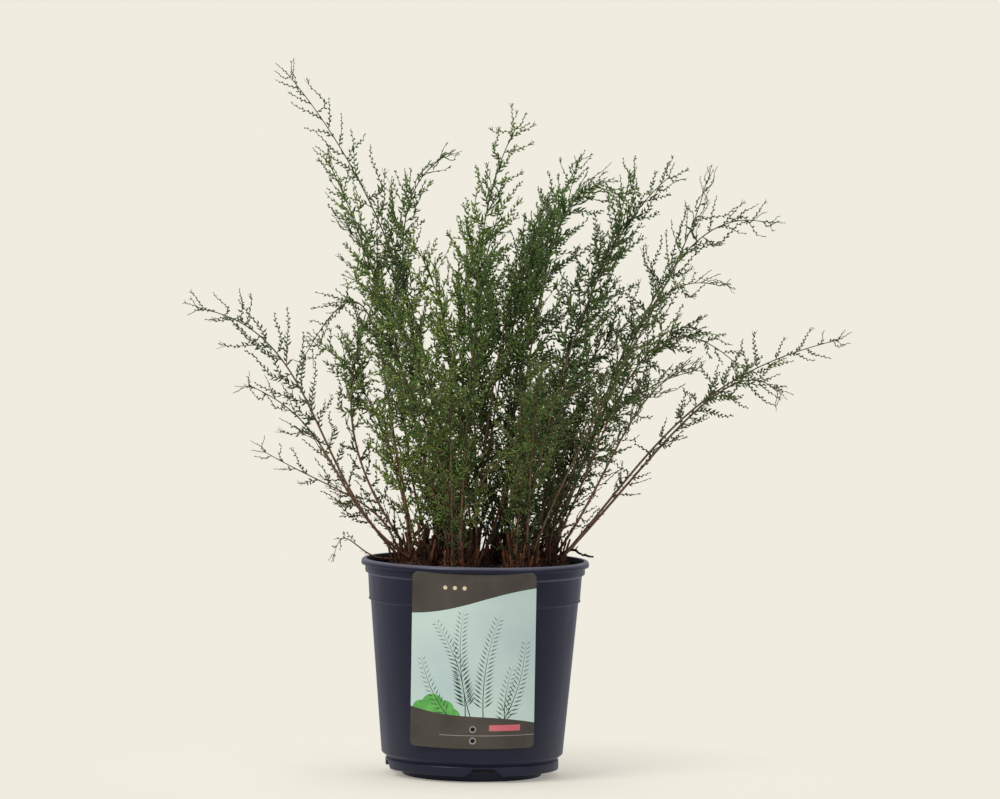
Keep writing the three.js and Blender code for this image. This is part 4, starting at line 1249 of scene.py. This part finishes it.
def floor_piece():
    """A pale round floor that fades into the backdrop at its rim."""
    mesh = bmesh.new()
    bmesh.ops.create_circle(mesh, cap_ends=True, radius=FLOOR_RADIUS, segments=96)
    piece = from_bmesh("floor", mesh)
    material, tree, shader = new_material("floor_pale", 0.9, 0.1)
    shader.inputs["Base Color"].default_value = (0.93, 0.89, 0.79, 1)
    place = tree.nodes.new("ShaderNodeTexCoord")
    reach = tree.nodes.new("ShaderNodeVectorMath")
    reach.operation = "LENGTH"
    tree.links.new(place.outputs["Object"], reach.inputs[0])
    near, far = FLOOR_FADE
    fade = node(tree, "ShaderNodeMapRange", From_Min=near, From_Max=far, To_Min=FLOOR_SOLIDITY, To_Max=0)
    tree.links.new(reach.outputs["Value"], fade.inputs["Value"])
    tree.links.new(fade.outputs["Result"], shader.inputs["Alpha"])
    piece.data.materials.append(material)


def area_light(name, place, size, power, colour):
    data = bpy.data.lights.new(name, "AREA")
    data.size = size
    data.energy = power
    data.color = colour
    light = linked(name, data)
    light.location = place
    light.rotation_euler = (Vector(LAMP_TARGET) - Vector(place)).to_track_quat("-Z", "Y").to_euler()


def light_stage():
    world = bpy.data.worlds.new("backdrop")
    world.use_nodes = True
    tree = world.node_tree
    background = tree.nodes["Background"]
    background.inputs["Color"].default_value = (0.62, 0.62, 0.6, 1)
    background.inputs["Strength"].default_value = AMBIENT_STRENGTH
    backdrop = node(tree, "ShaderNodeBackground", Color=(*BACKDROP, 1))
    seen = tree.nodes.new("ShaderNodeLightPath").outputs["Is Camera Ray"]
    mix = tree.nodes.new("ShaderNodeMixShader")
    tree.links.new(seen, mix.inputs[0])
    tree.links.new(background.outputs[0], mix.inputs[1])
    tree.links.new(backdrop.outputs[0], mix.inputs[2])
    tree.links.new(mix.outputs[0], tree.nodes["World Output"].inputs["Surface"])
    bpy.context.scene.world = world
    for lamp in LAMPS:
        area_light(*lamp)


def place_camera():
    """The photograph's view: a long lens, a little above the rim, with the frame turned slightly."""
    data = bpy.data.cameras.new("camera")
    data.sensor_fit = "HORIZONTAL"
    data.sensor_width = SENSOR_WIDTH
    data.lens = SENSOR_WIDTH * CAMERA_DISTANCE / FRAME_WIDTH
    camera = linked("camera", data)
    rise = radians(CAMERA_ELEVATION)
    target = Vector(CAMERA_TARGET) * MM
    back = Vector((0, -math.cos(rise), math.sin(rise))) * CAMERA_DISTANCE * MM
    look = (-back).to_track_quat("-Z", "Y").to_matrix().to_4x4()
    roll = Matrix.Rotation(radians(CAMERA_ROLL), 4, "Z")
    camera.matrix_world = Matrix.Translation(target + back) @ look @ roll
    bpy.context.scene.camera = camera
    bpy.context.scene.view_settings.view_transform = "Standard"


# Assembly


def build():
    place_camera()
    light_stage()
    floor_piece()
    settle(pot_piece([pot_material(), painted_shade_inside_material()]), "pot")
    settle(label_piece(label_materials()), "label")
    settle(soil_skin().make("soil_surface", [soil_material()]), "soil")
    scales = scale_material()
    for number, (name, crown) in enumerate(CROWNS.items()):
        piece = crown_skin(crown, number).make(f"rootstock_{name}", [scales, scales, scales])
        settle(piece, f"crown_{name}")
    foliage = [stem_material(), leaf_material(), scales]
    skins = {}
    for plan in plan_fronds():
        add_frond(skins.setdefault(plan["name"], Skin()), plan)
    for name, skin in skins.items():
        settle(skin.make(f"leafy_{name}", foliage), f"frond_{name}")
    settle(twig_skin().make("stalk", [twig_material()]), "twig")


build()
